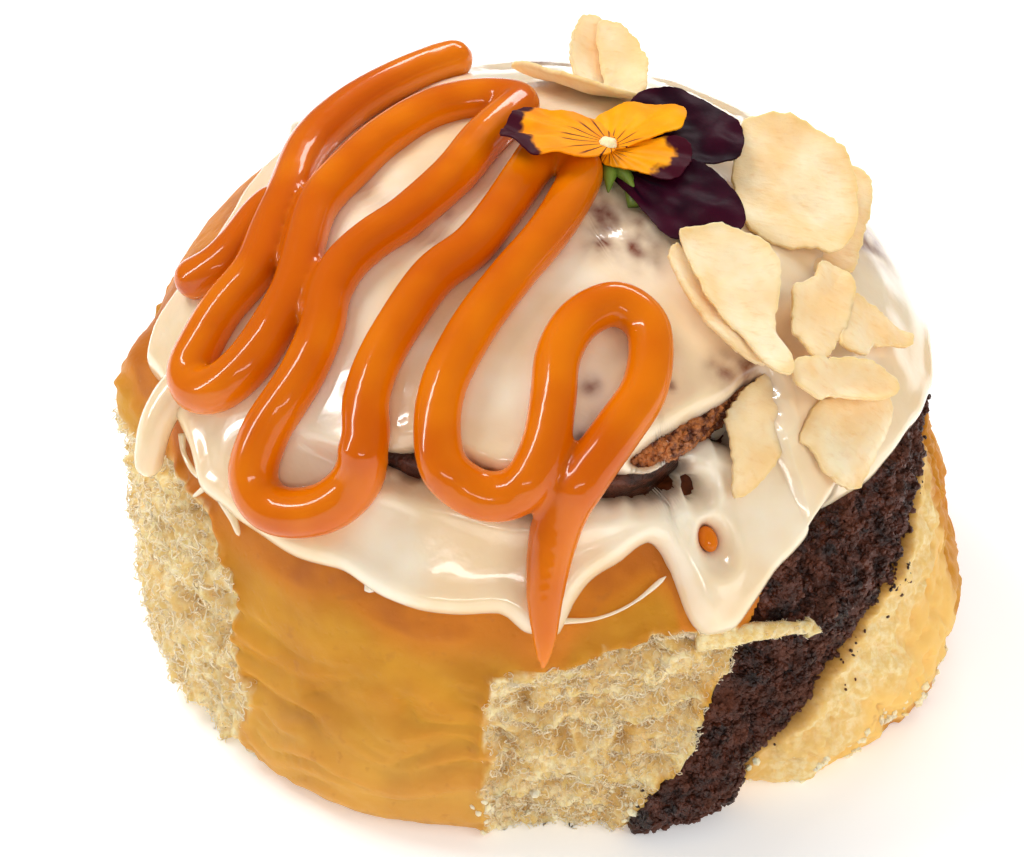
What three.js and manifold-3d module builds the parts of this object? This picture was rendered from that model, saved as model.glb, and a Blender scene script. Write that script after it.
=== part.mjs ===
// An iced cinnamon roll with a caramel drizzle, flaked almonds and a viola flower.
// Millimetres, +Z up. The origin is the middle of the flat base, on the axis of the coil; -Y is the front.
//
// The roll, its icing and everything laid on them are described by directions from a point inside the
// roll, the heart. A direction is [turn, down]: turn is the angle round +Z from +X, down is the angle
// from straight up, both in degrees. Each surface is a radius from the heart along such a direction.
import * as THREE from "three";
import { mergeVertices } from "three/addons/utils/BufferGeometryUtils.js";
import Module from "manifold-3d";

// ---- Driving dimensions -------------------------------------------------------------------------
const ROLL_HEIGHT = 62; // base to crown of the bread
const ROLL_RADIUS = 50; // mean radius of the side wall
const HEART_HEIGHT = 20; // height of the heart above the base
const DOME_RADIUS = 57.5; // horizontal half-axis of the domed top, before the side wall cuts it
const DOME_LEAN = 5; // how much wider the dome is towards -X, and narrower towards +X
const BASE_SINK = 2.5; // how far the rounded underside would pass the base: sets the flat's width
const EDGE_SHARPNESS = 8; // exponent that blends dome, wall and base: larger is a tighter edge
const LEDGE_DROP = 3; // how much lower the outer coil lies than the dome, at the front
const CLEARANCE = 0.3; // gap kept between touching pieces

const FILLING_DEPTH = 4.5; // from the bread's surface to the back of the filling
const FILLING_RECESS = 0.7; // how far the filling's face lies under the bread's surface

const ICING_THICKNESS = 2.2;
const ICING_RIM = 3; // distance from the icing's edge over which it reaches full thickness
const ICING_BED = 0.7; // gap between the bread and the underside of the icing

const CARAMEL_RADIUS = 2.5;
const CARAMEL_SINK = 0.8; // how far the ribbon's underside would lie in the icing: cut away as its seat

const FLAKE_THICKNESS = 1.1;
const PETAL_THICKNESS = 0.6;
const FLOWER_HEIGHT = 4.2; // from the icing up to the flower's eye
const EYE_RADIUS = 1.3;
const PETAL_ROOT = 2.3; // distance from the middle of the eye to where a petal starts
const STEM_RADIUS = 0.9;

// ---- Resolution ---------------------------------------------------------------------------------
const COLUMNS = 45; // facets round the roll
const BREAD_ROWS = 18; // facets from crown to base
const ICING_ROWS = 9; // facets from crown to the icing's edge
const RIBBON_STEP = 6.5; // length of one caramel facet
const RIBBON_SIDES = 6;
const FILLING_STATIONS = 46;
const FILLING_ACROSS = 3;

// ---- Outlines -----------------------------------------------------------------------------------
// How far the side wall stands proud of the mean radius: [turn, mm]. Full at the corners between neighbours.
const WALL_BULGE = [
  [-180, 2], [-165, 4.5], [-150, 5], [-133, 3.5], [-117, 4], [-99, 1.5], [-84, 1], [-66, 1.5],
  [-47, 4.5], [-31, 7], [-15, 4], [10, -3], [60, -4], [110, -3.5], [150, -1.5],
];

// The filling: the layer rolled up with the dough, from where the outer coil's tail hangs away from the
// side wall, round the back, to the open seam at the front. [turn, upper edge down, lower edge down]
const FILLING_COURSE = [
  [-77, 103, 111], [-70, 97, 111], [-66, 87, 110], [-62, 78, 107], [-54, 68, 99], [-45, 64, 93],
  [-38, 63, 87], [-31, 62, 82], [-24, 61, 77], [-16, 62, 75], [10, 62, 67], [90, 61, 65], [180, 58, 62],
  [240, 56, 60], [258, 56.5, 60], [282, 57, 60.5], [293, 53, 56.5], [306, 48.5, 52],
];
const SEAM_OPEN = [244, 306]; // turns between which the icing has parted over the seam

// How far down the icing reaches: [turn, down]. The low points are its runs and drips.
const ICING_EDGE = [
  [-180, 66], [-165, 64], [-160, 67], [-154, 77], [-149, 71], [-143, 69], [-132, 73], [-119, 72.5],
  [-110, 75], [-98, 75], [-90, 78], [-84, 71], [-76, 66.5], [-74, 75], [-69, 81], [-63, 78], [-57, 72],
  [-48, 70], [-30, 69], [-12, 67], [5, 68], [20, 72], [40, 67], [65, 74], [90, 69], [115, 75], [140, 67],
  [160, 71],
];

// The drizzle, as passes laid one after the other: [turn, down] along each.
const CARAMEL_PASSES = [
  [[-168, 40], [-162, 48], [-164, 54]],
  [[112, 31], [136, 31], [160, 33], [-174, 37], [-156, 43], [-150, 52], [-148, 58], [-144, 59], [-141, 56]],
  [[-141, 56], [-140, 50], [-145, 42.5], [-158, 36], [-171, 29], [165, 21], [130, 13]],
  [[130, 13], [-168, 10], [-143, 18], [-139, 28], [-140, 36], [-135, 43], [-131, 51], [-132, 60], [-131, 66],
    [-125, 66.5], [-120, 64]],
  [[-120, 64], [-117, 58], [-119, 50], [-120, 42], [-118, 32], [-112, 23], [-106, 10], [-70, 6]],
  [[-70, 6], [-70, 13], [-88, 20.5], [-101, 31], [-107, 43], [-107, 52], [-102, 58.5], [-96, 59]],
  [[-96, 59], [-91, 52], [-90, 44], [-83, 36.5], [-76, 35], [-70.5, 39], [-73, 45]],
  [[-73, 45], [-80, 51], [-87, 58], [-91, 66], [-91, 73], [-91, 79.5]],
];

// Almond flakes. seat: where the middle lies; lift: mm above the icing; heading: the way the tip points,
// seen from above; pitch: tip up; roll: about the flake's length; dish: how much its middle is hollowed.
const ALMOND_FLAKES = [
  { name: "flake_big", seat: [-10, 34], lift: 3.2, heading: -32, pitch: -6, roll: 24,
    length: 18, width: 17, dish: -1.6 },
  { name: "flake_big_under", seat: [4, 37], lift: 1.8, heading: -26, pitch: -2, roll: 14,
    length: 18, width: 14, dish: -1 },
  { name: "flake_crown", seat: [76, 17], lift: 1.6, heading: -40, pitch: 4, roll: -22,
    length: 19, width: 10, dish: 0.8 },
  { name: "flake_upright_left", seat: [72, 27], lift: 2.4, heading: 115, pitch: 48, roll: 16,
    length: 12, width: 8, dish: 1 },
  { name: "flake_upright_right", seat: [54, 28], lift: 2.2, heading: 70, pitch: 46, roll: -10,
    length: 11, width: 8, dish: 1 },
  { name: "flake_curled", seat: [-46, 39], lift: 2.6, heading: -58, pitch: 4, roll: 22,
    length: 20, width: 10, dish: 1.8 },
  { name: "flake_sliver", seat: [-53, 39], lift: 0.9, heading: -52, pitch: 2, roll: -24,
    length: 19, width: 6, dish: 1 },
  { name: "flake_shard", seat: [-31, 47], lift: 1.4, heading: -108, pitch: 6, roll: 4,
    length: 14, width: 9, dish: 0.6 },
  { name: "flake_shard_outer", seat: [-22, 53], lift: 1.2, heading: -75, pitch: 2, roll: 10,
    length: 11, width: 8, dish: 0.5 },
  { name: "flake_level", seat: [-39, 54.5], lift: 2.4, heading: 14, pitch: 0, roll: -24,
    length: 15, width: 7, dish: 0.8 },
  { name: "flake_leaf", seat: [-56, 57], lift: 0.9, heading: -112, pitch: -3, roll: 4,
    length: 15, width: 8, dish: -0.6 },
  { name: "flake_sunk", seat: [-43, 60.5], lift: 0.5, heading: -100, pitch: 0, roll: 0,
    length: 13, width: 11, dish: -0.6 },
];

// Petals, each from the flower's eye outwards. rise: tip up, degrees; curl: how far the tip drops; cup: how
// far the sides turn up; below: how far under the eye the petal starts.
const PETALS = [
  { name: "petal_lower", heading: 171, rise: 12, roll: 10,
    length: 10.4, width: 11, curl: 0.5, cup: 1.4, below: -0.4 },
  { name: "petal_side_back", heading: 38, rise: 9, roll: -14,
    length: 10, width: 7.5, curl: 0.8, cup: 0.6, below: 0.2 },
  { name: "petal_side_front", heading: -12, rise: 0, roll: 12,
    length: 8, width: 8, curl: 0.8, cup: 0.6, below: 0.5 },
  { name: "petal_upper_back", heading: 11, rise: 2, roll: 6,
    length: 14, width: 12.5, curl: 0.6, cup: 0.6, below: 1.8 },
  { name: "petal_upper_front", heading: -38, rise: -2, roll: 14,
    length: 15, width: 12, curl: 0.8, cup: 0.6, below: 2.2 },
];
const FLOWER_SEAT = [-44, 11];
const STEM_END = [-50, 19];

// ---- Materials ----------------------------------------------------------------------------------
const finish = (color, roughness) => new THREE.MeshStandardMaterial({ color, roughness, metalness: 0 });
const BREAD = finish(0xe3a94f, 0.75);
const COCOA = finish(0x35180f, 0.55);
const ICING = finish(0xf1e3cb, 0.25);
const CARAMEL = finish(0xd9740f, 0.12);
const ALMOND = finish(0xf3dca4, 0.5);
const YELLOW_PETAL = finish(0xf6b40a, 0.5);
const PURPLE_PETAL = finish(0x3d0a2c, 0.55);
const GREEN = finish(0x6f7f22, 0.6);

// ---- Directions and curves ----------------------------------------------------------------------
const DEG = Math.PI / 180;
const UP = new THREE.Vector3(0, 0, 1);
const HEART = new THREE.Vector3(0, 0, HEART_HEIGHT);

const smooth = (t) => t * t * (3 - 2 * t);
const clamp01 = (t) => Math.min(1, Math.max(0, t));

function direction([turn, down]) {
  const across = Math.sin(down * DEG);
  const [x, y] = [across * Math.cos(turn * DEG), across * Math.sin(turn * DEG)];
  return new THREE.Vector3(x, y, Math.cos(down * DEG));
}

const turnOf = (d) => Math.atan2(d.y, d.x) / DEG;
const downOf = (d) => Math.acos(THREE.MathUtils.clamp(d.z, -1, 1)) / DEG;

// Column `column` of rows sorted by their first value, eased between rows. A closed outline repeats
// after 360.
function along(rows, at, column = 1, closed = false) {
  const list = closed ? [...rows, [rows[0][0] + 360, ...rows[0].slice(1)]] : rows;
  const x = closed ? THREE.MathUtils.euclideanModulo(at - list[0][0], 360) + list[0][0] : at;
  const next = list.findIndex((row) => row[0] > x);
  if (next === 0) return list[0][column];
  if (next < 0) return list[list.length - 1][column];
  const [before, after] = [list[next - 1], list[next]];
  const share = smooth((x - before[0]) / (after[0] - before[0]));
  return THREE.MathUtils.lerp(before[column], after[column], share);
}

// ---- The surfaces, as radii from the heart ------------------------------------------------------
// The front ledge: 0 on the dome, 1 on the outer coil below the open seam.
function ledge(d) {
  const turn = THREE.MathUtils.euclideanModulo(turnOf(d), 360);
  const middle = (SEAM_OPEN[0] + SEAM_OPEN[1]) / 2;
  const half = (SEAM_OPEN[1] - SEAM_OPEN[0]) / 2;
  const beside = 1 - smooth(clamp01((Math.abs(turn - middle) - half) / 25));
  const below = downOf(d) - along(FILLING_COURSE, turn);
  return beside * smooth(clamp01(below / 4)) * (1 - smooth(clamp01((below - 9) / 14)));
}

function breadRadius(d) {
  const across = Math.hypot(d.x, d.y);
  const wall = across / (ROLL_RADIUS + along(WALL_BULGE, turnOf(d), 1, true));
  const domeRadius = DOME_RADIUS - (DOME_LEAN * d.x) / Math.max(across, 1e-9);
  const dome = Math.hypot(across / domeRadius, Math.max(d.z, 0) / (ROLL_HEIGHT - HEART_HEIGHT));
  const base = Math.max(-d.z, 0) / (HEART_HEIGHT + BASE_SINK);
  const sum = wall ** EDGE_SHARPNESS + dome ** EDGE_SHARPNESS + base ** EDGE_SHARPNESS;
  const rounded = sum ** (1 / EDGE_SHARPNESS);
  return 1 / rounded - LEDGE_DROP * ledge(d);
}

// The outer face of the icing: it swells from nothing at its edge. Beyond the edge it is the bread's own bed.
function icingRadius(d) {
  const bread = breadRadius(d);
  const inside = (along(ICING_EDGE, turnOf(d), 1, true) - downOf(d)) * DEG * bread;
  const rim = clamp01(inside / ICING_RIM);
  return bread + ICING_BED + ICING_THICKNESS * Math.sqrt(rim * (2 - rim));
}

const place = (radiusAt, at, out = 0) => {
  const d = Array.isArray(at) ? direction(at) : at;
  return d.clone().multiplyScalar(radiusAt(d) + out).add(HEART);
};

// ---- Solids -------------------------------------------------------------------------------------
const wasm = await Module();
wasm.setup();

function solidOf(geometry) {
  const bare = geometry.clone();
  bare.deleteAttribute("normal");
  bare.deleteAttribute("uv");
  const merged = mergeVertices(bare, 1e-4);
  const triVerts = new Uint32Array(merged.index.array);
  const solid = new wasm.Manifold(
    new wasm.Mesh({ numProp: 3, vertProperties: merged.attributes.position.array, triVerts }),
  );
  if (solid.volume() > 0) return solid;
  for (let i = 0; i < triVerts.length; i += 3) {
    [triVerts[i + 1], triVerts[i + 2]] = [triVerts[i + 2], triVerts[i + 1]];
  }
  return new wasm.Manifold(
    new wasm.Mesh({ numProp: 3, vertProperties: merged.attributes.position.array, triVerts }),
  );
}

// A ball with each vertex moved to where `pointAt` puts it: turn in degrees, and 0 to 1 from pole to pole.
function shapedBall(rows, pointAt) {
  const ball = new THREE.SphereGeometry(1, COLUMNS, rows);
  const { position, uv } = ball.attributes;
  for (let i = 0; i < position.count; i++) {
    const p = pointAt(uv.getX(i) * 360, 1 - uv.getY(i));
    position.setXYZ(i, p.x, p.y, p.z);
  }
  return solidOf(ball);
}

// The bread: its radius in every direction, flattened on the base plane.
const breadSolid = (grow) =>
  shapedBall(BREAD_ROWS, (turn, t) => {
    const d = direction([turn, t * 180]);
    const toBase = d.z < 0 ? (HEART_HEIGHT + grow) / -d.z : Infinity;
    return d.multiplyScalar(Math.min(breadRadius(d) + grow, toBase)).add(HEART);
  });

// The icing: its outer face from the crown down to its edge, then its bed back up to the crown.
const icingSolid = (grow) =>
  shapedBall(2 * ICING_ROWS, (turn, t) => {
    const rim = along(ICING_EDGE, turn, 1, true) + grow / (ROLL_RADIUS * DEG);
    const reach = 1 - Math.abs(2 * t - 1);
    const d = direction([turn, rim * (1 - (1 - reach) ** 1.7)]);
    return t <= 0.5 ? place(icingRadius, d, grow) : place(breadRadius, d, ICING_BED - grow);
  });

// A closed solid through rings of the same number of points.
function loft(rings) {
  const count = rings[0].length;
  const points = rings.flat();
  const middle = (ring) => ring.reduce((sum, p) => sum.add(p), new THREE.Vector3()).divideScalar(count);
  points.push(middle(rings[0]), middle(rings[rings.length - 1]));
  const index = [];
  for (let r = 0; r < rings.length - 1; r++) {
    for (let i = 0; i < count; i++) {
      const [a, b] = [r * count + i, r * count + ((i + 1) % count)];
      index.push(a, b, b + count, a, b + count, a + count);
    }
  }
  const last = (rings.length - 1) * count;
  for (let i = 0; i < count; i++) {
    const next = (i + 1) % count;
    index.push(points.length - 2, next, i, points.length - 1, last + i, last + next);
  }
  return solidOf(new THREE.BufferGeometry().setFromPoints(points).setIndex(index));
}

// The strip of filling between two depths under the bread's surface, over a range of turns.
function fillingStrip(outer, inner, grow = 0, range = [FILLING_COURSE[0][0], FILLING_COURSE.at(-1)[0]]) {
  const rings = [];
  const widen = grow / (ROLL_RADIUS * DEG);
  for (let s = 0; s <= FILLING_STATIONS; s++) {
    const end = s === 0 ? -widen : s === FILLING_STATIONS ? widen : 0;
    const turn = THREE.MathUtils.lerp(range[0], range[1], s / FILLING_STATIONS) + end;
    const upper = along(FILLING_COURSE, turn, 1) - 2 * widen;
    const lower = along(FILLING_COURSE, turn, 2) + 2 * widen;
    const side = (depth) =>
      Array.from({ length: FILLING_ACROSS + 1 }, (_, i) => {
        const p = place(breadRadius, [turn, THREE.MathUtils.lerp(upper, lower, i / FILLING_ACROSS)], -depth);
        p.z = Math.max(p.z, CLEARANCE - grow);
        return p;
      });
    rings.push([...side(outer), ...side(inner).reverse()]);
  }
  return loft(rings);
}

// A ribbon of caramel: a round tube through its route, with a ball on each end.
function caramelPass(route, grow) {
  const radius = CARAMEL_RADIUS + grow;
  const points = route.map((at) => place(icingRadius, at, CARAMEL_RADIUS - CARAMEL_SINK));
  const curve = new THREE.CatmullRomCurve3(points, false, "centripetal");
  const section = new THREE.Shape().absarc(0, 0, radius, 0, 2 * Math.PI);
  const tube = new THREE.ExtrudeGeometry(section, {
    steps: Math.ceil(curve.getLength() / RIBBON_STEP),
    curveSegments: RIBBON_SIDES / 2,
    extrudePath: curve,
  });
  const ball = (at) => solidOf(new THREE.SphereGeometry(radius, RIBBON_SIDES, 6).translate(at.x, at.y, at.z));
  return solidOf(tube).add(ball(points[0])).add(ball(points[points.length - 1]));
}

// The tangent frame where a topping sits: `ahead` points along a heading seen from above.
function seatFrame(at, heading) {
  const [turn, down] = at;
  const here = place(icingRadius, at);
  const east = place(icingRadius, [turn + 1, down]).sub(here);
  const south = place(icingRadius, [turn, down + 1]).sub(here);
  const out = south.cross(east).normalize();
  const compass = new THREE.Vector3(Math.cos(heading * DEG), Math.sin(heading * DEG), 0);
  const ahead = compass.addScaledVector(out, -compass.dot(out)).normalize();
  return { here, out: out.dot(UP) < 0 ? out.negate() : out, ahead };
}

// A thin solid over a grid: centre(u, v) with u along and v across, `half` its half width at u.
function leafSolid({ length, halfWidth, height, thickness, grow, alongCount, acrossCount }) {
  const rings = [];
  for (let i = 0; i <= alongCount; i++) {
    const u = i / alongCount;
    const half = halfWidth(u) + grow;
    const x = THREE.MathUtils.lerp(-grow, length + grow, u);
    const row = (side) =>
      Array.from({ length: acrossCount + 1 }, (_, j) => {
        const v = (2 * j) / acrossCount - 1;
        return new THREE.Vector3(x, v * half, height(u, v) + side * (thickness / 2 + grow));
      });
    rings.push([...row(1), ...row(-1).reverse()]);
  }
  return rings;
}

const placeRings = (rings, matrix) =>
  loft(rings.map((ring) => ring.map((p) => p.clone().applyMatrix4(matrix))));

// An almond slice: a rounded teardrop, pointed at its tip.
const almondHalf = (width) => (u) =>
  (width / 2) * (0.12 + 0.88 * Math.sin(Math.PI * clamp01(0.06 + 0.88 * u ** 0.85)));

function almondFlake({ seat, lift, heading, pitch, roll, length, width, dish }, grow) {
  const { here, out, ahead } = seatFrame(seat, heading);
  const rings = leafSolid({
    length,
    halfWidth: almondHalf(width),
    height: (u, v) => dish * (v * v - 1) * Math.sin(Math.PI * u),
    thickness: FLAKE_THICKNESS,
    grow,
    alongCount: 6,
    acrossCount: 3,
  });
  const basis = new THREE.Matrix4()
    .makeBasis(ahead, out.clone().cross(ahead), out)
    .multiply(new THREE.Matrix4().makeRotationY(-pitch * DEG))
    .multiply(new THREE.Matrix4().makeRotationX(roll * DEG))
    .multiply(new THREE.Matrix4().makeTranslation(-length / 2, 0, 0));
  const at = here.addScaledVector(out, lift + FLAKE_THICKNESS / 2);
  return placeRings(rings, new THREE.Matrix4().makeTranslation(at.x, at.y, at.z).multiply(basis));
}

const EYE = place(icingRadius, FLOWER_SEAT).addScaledVector(UP, FLOWER_HEIGHT);

// A petal: narrow at the eye, broad and round at its tip.
const petalHalf = (width) => (u) => {
  const round = Math.sqrt(Math.max(0, 1 - (2 * u ** 0.8 - 1) ** 2));
  return (width / 2) * (0.16 + 0.84 * round * (0.55 + 0.45 * u));
};

function petal({ heading, rise, roll, length, width, curl, cup, below = 0 }, grow) {
  const rings = leafSolid({
    length,
    halfWidth: petalHalf(width),
    height: (u, v) => cup * v * v * u - curl * u ** 3,
    thickness: PETAL_THICKNESS,
    grow,
    alongCount: 7,
    acrossCount: 4,
  });
  const basis = new THREE.Matrix4()
    .makeTranslation(EYE.x, EYE.y, EYE.z - below)
    .multiply(new THREE.Matrix4().makeRotationZ(heading * DEG))
    .multiply(new THREE.Matrix4().makeRotationY(-rise * DEG))
    .multiply(new THREE.Matrix4().makeRotationX(roll * DEG))
    .multiply(new THREE.Matrix4().makeTranslation(PETAL_ROOT, 0, 0));
  return placeRings(rings, basis);
}

const flowerEye = (grow) =>
  solidOf(new THREE.SphereGeometry(EYE_RADIUS + grow, 10, 8).scale(1.15, 1, 1).translate(EYE.x, EYE.y, EYE.z));

// The calyx, a small cup under the eye, and the cut stem that runs from it down onto the icing.
function calyx(grow) {
  const cupRadius = STEM_RADIUS * 1.8 + grow;
  const cup = new THREE.SphereGeometry(1, 10, 6).scale(cupRadius, cupRadius, STEM_RADIUS + grow);
  const top = new THREE.Vector3(EYE.x, EYE.y, EYE.z - EYE_RADIUS - STEM_RADIUS - CLEARANCE);
  const stem = new THREE.CatmullRomCurve3([
    top,
    place(icingRadius, STEM_END, 1.6 * STEM_RADIUS).lerp(top, 0.5),
    place(icingRadius, STEM_END, STEM_RADIUS + CLEARANCE),
  ]);
  const section = new THREE.Shape().absarc(0, 0, STEM_RADIUS + grow, 0, 2 * Math.PI);
  const tube = new THREE.ExtrudeGeometry(section, { steps: 5, curveSegments: 4, extrudePath: stem });
  return solidOf(cup.translate(top.x, top.y, top.z)).add(solidOf(tube));
}

// ---- The pieces, in the order they are laid: each is cut clear of the ones before it --------------
const union = (solids) => solids.reduce((sum, next) => sum.add(next));
const fillingFace = (grow) => fillingStrip(FILLING_RECESS - grow, FILLING_DEPTH + grow, grow);

const PIECES = [
  { name: "filling", material: COCOA, make: fillingFace },
  {
    name: "bun",
    material: BREAD,
    make: breadSolid,
    cut: () => fillingStrip(-3, FILLING_DEPTH + CLEARANCE, CLEARANCE),
    beddedOn: ["filling"],
  },
  {
    name: "icing",
    material: ICING,
    make: icingSolid,
    cut: () => fillingStrip(-3 * ICING_THICKNESS, FILLING_DEPTH, 0, SEAM_OPEN),
  },
  {
    name: "caramel_drizzle",
    material: CARAMEL,
    make: (grow) => union(CARAMEL_PASSES.slice(1).map((route) => caramelPass(route, grow))),
  },
  { name: "caramel_tail", material: CARAMEL, make: (grow) => caramelPass(CARAMEL_PASSES[0], grow) },
  { name: "flower_eye", material: YELLOW_PETAL, make: flowerEye },
  { name: "flower_calyx", material: GREEN, make: calyx },
  ...PETALS.map((shape) => ({
    name: shape.name,
    material: shape.name.startsWith("petal_upper") ? PURPLE_PETAL : YELLOW_PETAL,
    make: (grow) => petal(shape, grow),
  })),
  ...ALMOND_FLAKES.map((shape) => ({
    name: shape.name,
    material: ALMOND,
    make: (grow) => almondFlake(shape, grow),
  })),
];

const largest = (solid) => solid.decompose().sort((a, b) => b.volume() - a.volume())[0];

function meshOf(solid, name, material) {
  const { numProp, vertProperties, triVerts, numVert } = solid.getMesh();
  const position = new Float32Array(numVert * 3);
  for (let i = 0; i < numVert; i++) {
    position.set(vertProperties.subarray(i * numProp, i * numProp + 3), i * 3);
  }
  const geometry = new THREE.BufferGeometry()
    .setAttribute("position", new THREE.BufferAttribute(position, 3))
    .setIndex(new THREE.BufferAttribute(triVerts, 1));
  geometry.computeVertexNormals();
  const mesh = new THREE.Mesh(geometry, material);
  mesh.name = name;
  return mesh;
}

const roll = new THREE.Group();
const laid = new Map();
for (const { name, material, make, cut, beddedOn = [] } of PIECES) {
  let solid = make(0);
  if (cut) solid = solid.subtract(cut());
  for (const [earlier, grown] of laid) {
    if (!beddedOn.includes(earlier)) solid = solid.subtract(grown);
  }
  roll.add(meshOf(largest(solid), name, material));
  laid.set(name, make(CLEARANCE));
}

export default roll;
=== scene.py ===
# %% [markdown]
# # A cinnamon roll, iced and dressed
# One snail-shaped bun, baked and then torn from its neighbours, so that two of its sides are open crumb.
# A dark chocolate filling shows in the seam. White icing runs over the top, a caramel ribbon is piped
# across it, and almond flakes and one viola dress the right of the crown.
# Everything below is in millimetres until it becomes a mesh, in the frame of the CAD part.

# %% Load the frame
import math

import bpy
import numpy as np
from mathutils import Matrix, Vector


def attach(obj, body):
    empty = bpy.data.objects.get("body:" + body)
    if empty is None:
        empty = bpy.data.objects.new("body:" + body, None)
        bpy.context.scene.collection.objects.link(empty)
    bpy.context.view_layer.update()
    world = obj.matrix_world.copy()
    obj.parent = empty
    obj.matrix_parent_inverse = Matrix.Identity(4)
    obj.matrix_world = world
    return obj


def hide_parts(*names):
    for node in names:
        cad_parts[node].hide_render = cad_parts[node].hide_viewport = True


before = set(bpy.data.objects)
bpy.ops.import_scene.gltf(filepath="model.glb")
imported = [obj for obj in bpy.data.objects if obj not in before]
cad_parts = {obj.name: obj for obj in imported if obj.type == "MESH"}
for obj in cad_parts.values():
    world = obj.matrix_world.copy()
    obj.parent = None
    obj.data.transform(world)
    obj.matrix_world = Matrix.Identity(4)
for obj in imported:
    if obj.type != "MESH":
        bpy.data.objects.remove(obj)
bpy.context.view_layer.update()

# %% [markdown]
# ## Sizes shared with the CAD part
# The roll is described about its heart, 20 mm up: a place is a turn around the upright axis and an angle
# down from straight up, both in degrees, and every surface is a radius in that direction. The same sizes
# and the same courses as the CAD's keep the looks on top of the solid pieces.

# %% Sizes
ROLL_HEIGHT = 62
ROLL_RADIUS = 50
HEART_HEIGHT = 20
DOME_RADIUS = 57.5
DOME_LEAN = 5
BASE_SINK = 2.5
EDGE_SHARPNESS = 8
LEDGE_DROP = 3
ICING_THICKNESS = 2.2
ICING_RIM = 3
ICING_BED = 0.7
CARAMEL_RADIUS = 2.5
CARAMEL_SINK = 0.8
MM_PER_DEGREE = 0.87
PLATE_SPAN = 40
HEART = np.array([0.0, 0.0, HEART_HEIGHT])

WALL_BULGE = [
    (-180, 2), (-165, 4.5), (-150, 5), (-133, 3.5), (-117, 4), (-99, 1.5), (-84, 1), (-66, 1.5),
    (-47, 4.5), (-31, 7), (-15, 4), (10, -3), (60, -4), (110, -3.5), (150, -1.5),
]
# turn, upper edge, lower edge
FILLING_COURSE = [
    (-80, 110, 112), (-77.5, 106.5, 112), (-73.4, 102, 112), (-69.5, 96, 112), (-68, 91, 112),
    (-65.8, 87.6, 111), (-62.9, 83, 108.5), (-60, 77, 105.5), (-54, 68, 99), (-45, 64, 93),
    (-38, 63, 87),
    (-31, 62, 82), (-24, 61, 77), (-16, 62, 75), (10, 62, 67), (90, 61, 65), (180, 58, 62),
    (240, 56, 60),
    (258, 56.5, 60), (282, 57, 60.5), (293, 53, 56.5), (306, 48.5, 52),
]
ICING_EDGE = [
    (-180, 47.5), (-174, 50), (-169, 53.5), (-166, 61), (-161, 65.5), (-155, 64.5), (-150, 66),
    (-145, 67.7), (-141, 71), (-135, 72), (-125, 72.8), (-119, 72.5), (-112, 74.7), (-104, 75.4),
    (-97, 75), (-93, 77.6), (-89.5, 77.8), (-87, 73.6), (-84.5, 71), (-80.6, 68.9), (-76, 67),
    (-73.6, 69.5), (-72, 76.5), (-70, 80.3), (-66, 80.8), (-62, 77.4), (-58, 73.4), (-49, 70.3),
    (-41, 70), (-30, 68.4), (-18, 69), (-10, 67), (5, 68), (20, 72), (40, 67), (65, 74),
    (90, 69), (112, 74), (130, 60), (148, 49), (164, 44),
]
SEAM_CREVICE = [
    (-116, 57.4), (-112.4, 56.2), (-108, 55.6), (-104, 56.6), (-98, 57.4), (-92, 57.8), (-87, 57.3),
    (-82, 57.4), (-77.8, 57.6), (-73.5, 57.4), (-71, 56.2), (-68.6, 57), (-68.4, 58.4), (-70, 59.2),
    (-73, 60.2), (-76, 60.3), (-79, 59.7), (-82, 59.8), (-88, 59.8), (-92, 60.3), (-98, 59.4),
    (-105, 58.4), (-110, 58.3),
]
SEAM_POCKET = [
    (-62, 54.5), (-58, 53.9), (-54.2, 53), (-53.6, 53.8), (-56, 54.9), (-58.6, 55.8), (-60.8, 55.4),
]
SEAM_LIP = [
    (-78, 55.3), (-75.7, 54.3), (-70.5, 52.8), (-65.5, 51.7), (-60.4, 51.2), (-55.2, 50.3),
    (-51.5, 50.2),
    (-52.6, 52), (-54.7, 53), (-57.7, 53.5), (-61.6, 54.1), (-65.8, 54.9), (-69.8, 55.8), (-73, 55.7),
    (-76, 56.2),
]
INNER_COIL = [(306, 49), (325, 46.5), (360, 43), (450, 36), (540, 29), (615, 25), (660, 20), (720, 14)]
TORN_LEFT = [
    (-198, 72), (-186, 70.5), (-176, 69.5), (-166, 70), (-157, 71.4), (-151.9, 71.6), (-143.8, 72),
    (-139.2, 75.2), (-135.6, 80.8), (-133.6, 84.6), (-134.9, 89.5), (-133.8, 95), (-131.5, 98.9),
    (-134.3, 107.5), (-134, 118), (-165, 122), (-200, 118),
]
TORN_FRONT = [
    (-98.5, 87.2), (-96.8, 84.2), (-91.6, 83.2), (-83.6, 80.8), (-75.4, 79.2), (-69.7, 78.9), (-65, 80),
    (-63, 85.4), (-65.8, 88.4), (-68.7, 92.7), (-69.3, 98), (-73.4, 102.2), (-77.5, 105.9), (-80, 110),
    (-81, 118), (-90, 122), (-98.5, 118), (-99, 107), (-99.2, 96),
]
TORN_BACK = [
    (22, 76), (34, 73), (48, 75), (62, 72), (74, 77), (79, 88), (77, 102), (74, 120), (24, 120),
    (18, 104), (17, 88),
]
# turn, down, half width and half height in mm
BURST_BUBBLES = [(-67.2, 67.7, 1.05, 1.45), (-67.8, 60.5, 1.4, 1.4)]

# %% [markdown]
# ## Curves, noise and outlines
# The same few sums shape every piece: a curve eased through rows of numbers, gradient noise with a fixed
# table, and the distance inside a closed outline drawn on the unrolled wall. They are written on whole
# arrays of points, which is quick enough for the fine grids below.


# %% Curves and noise
def smooth(x):
    """0 up to 0, 1 from 1 on, and an easy curve between."""
    x = np.clip(x, 0, 1)
    return x * x * (3 - 2 * x)


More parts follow.
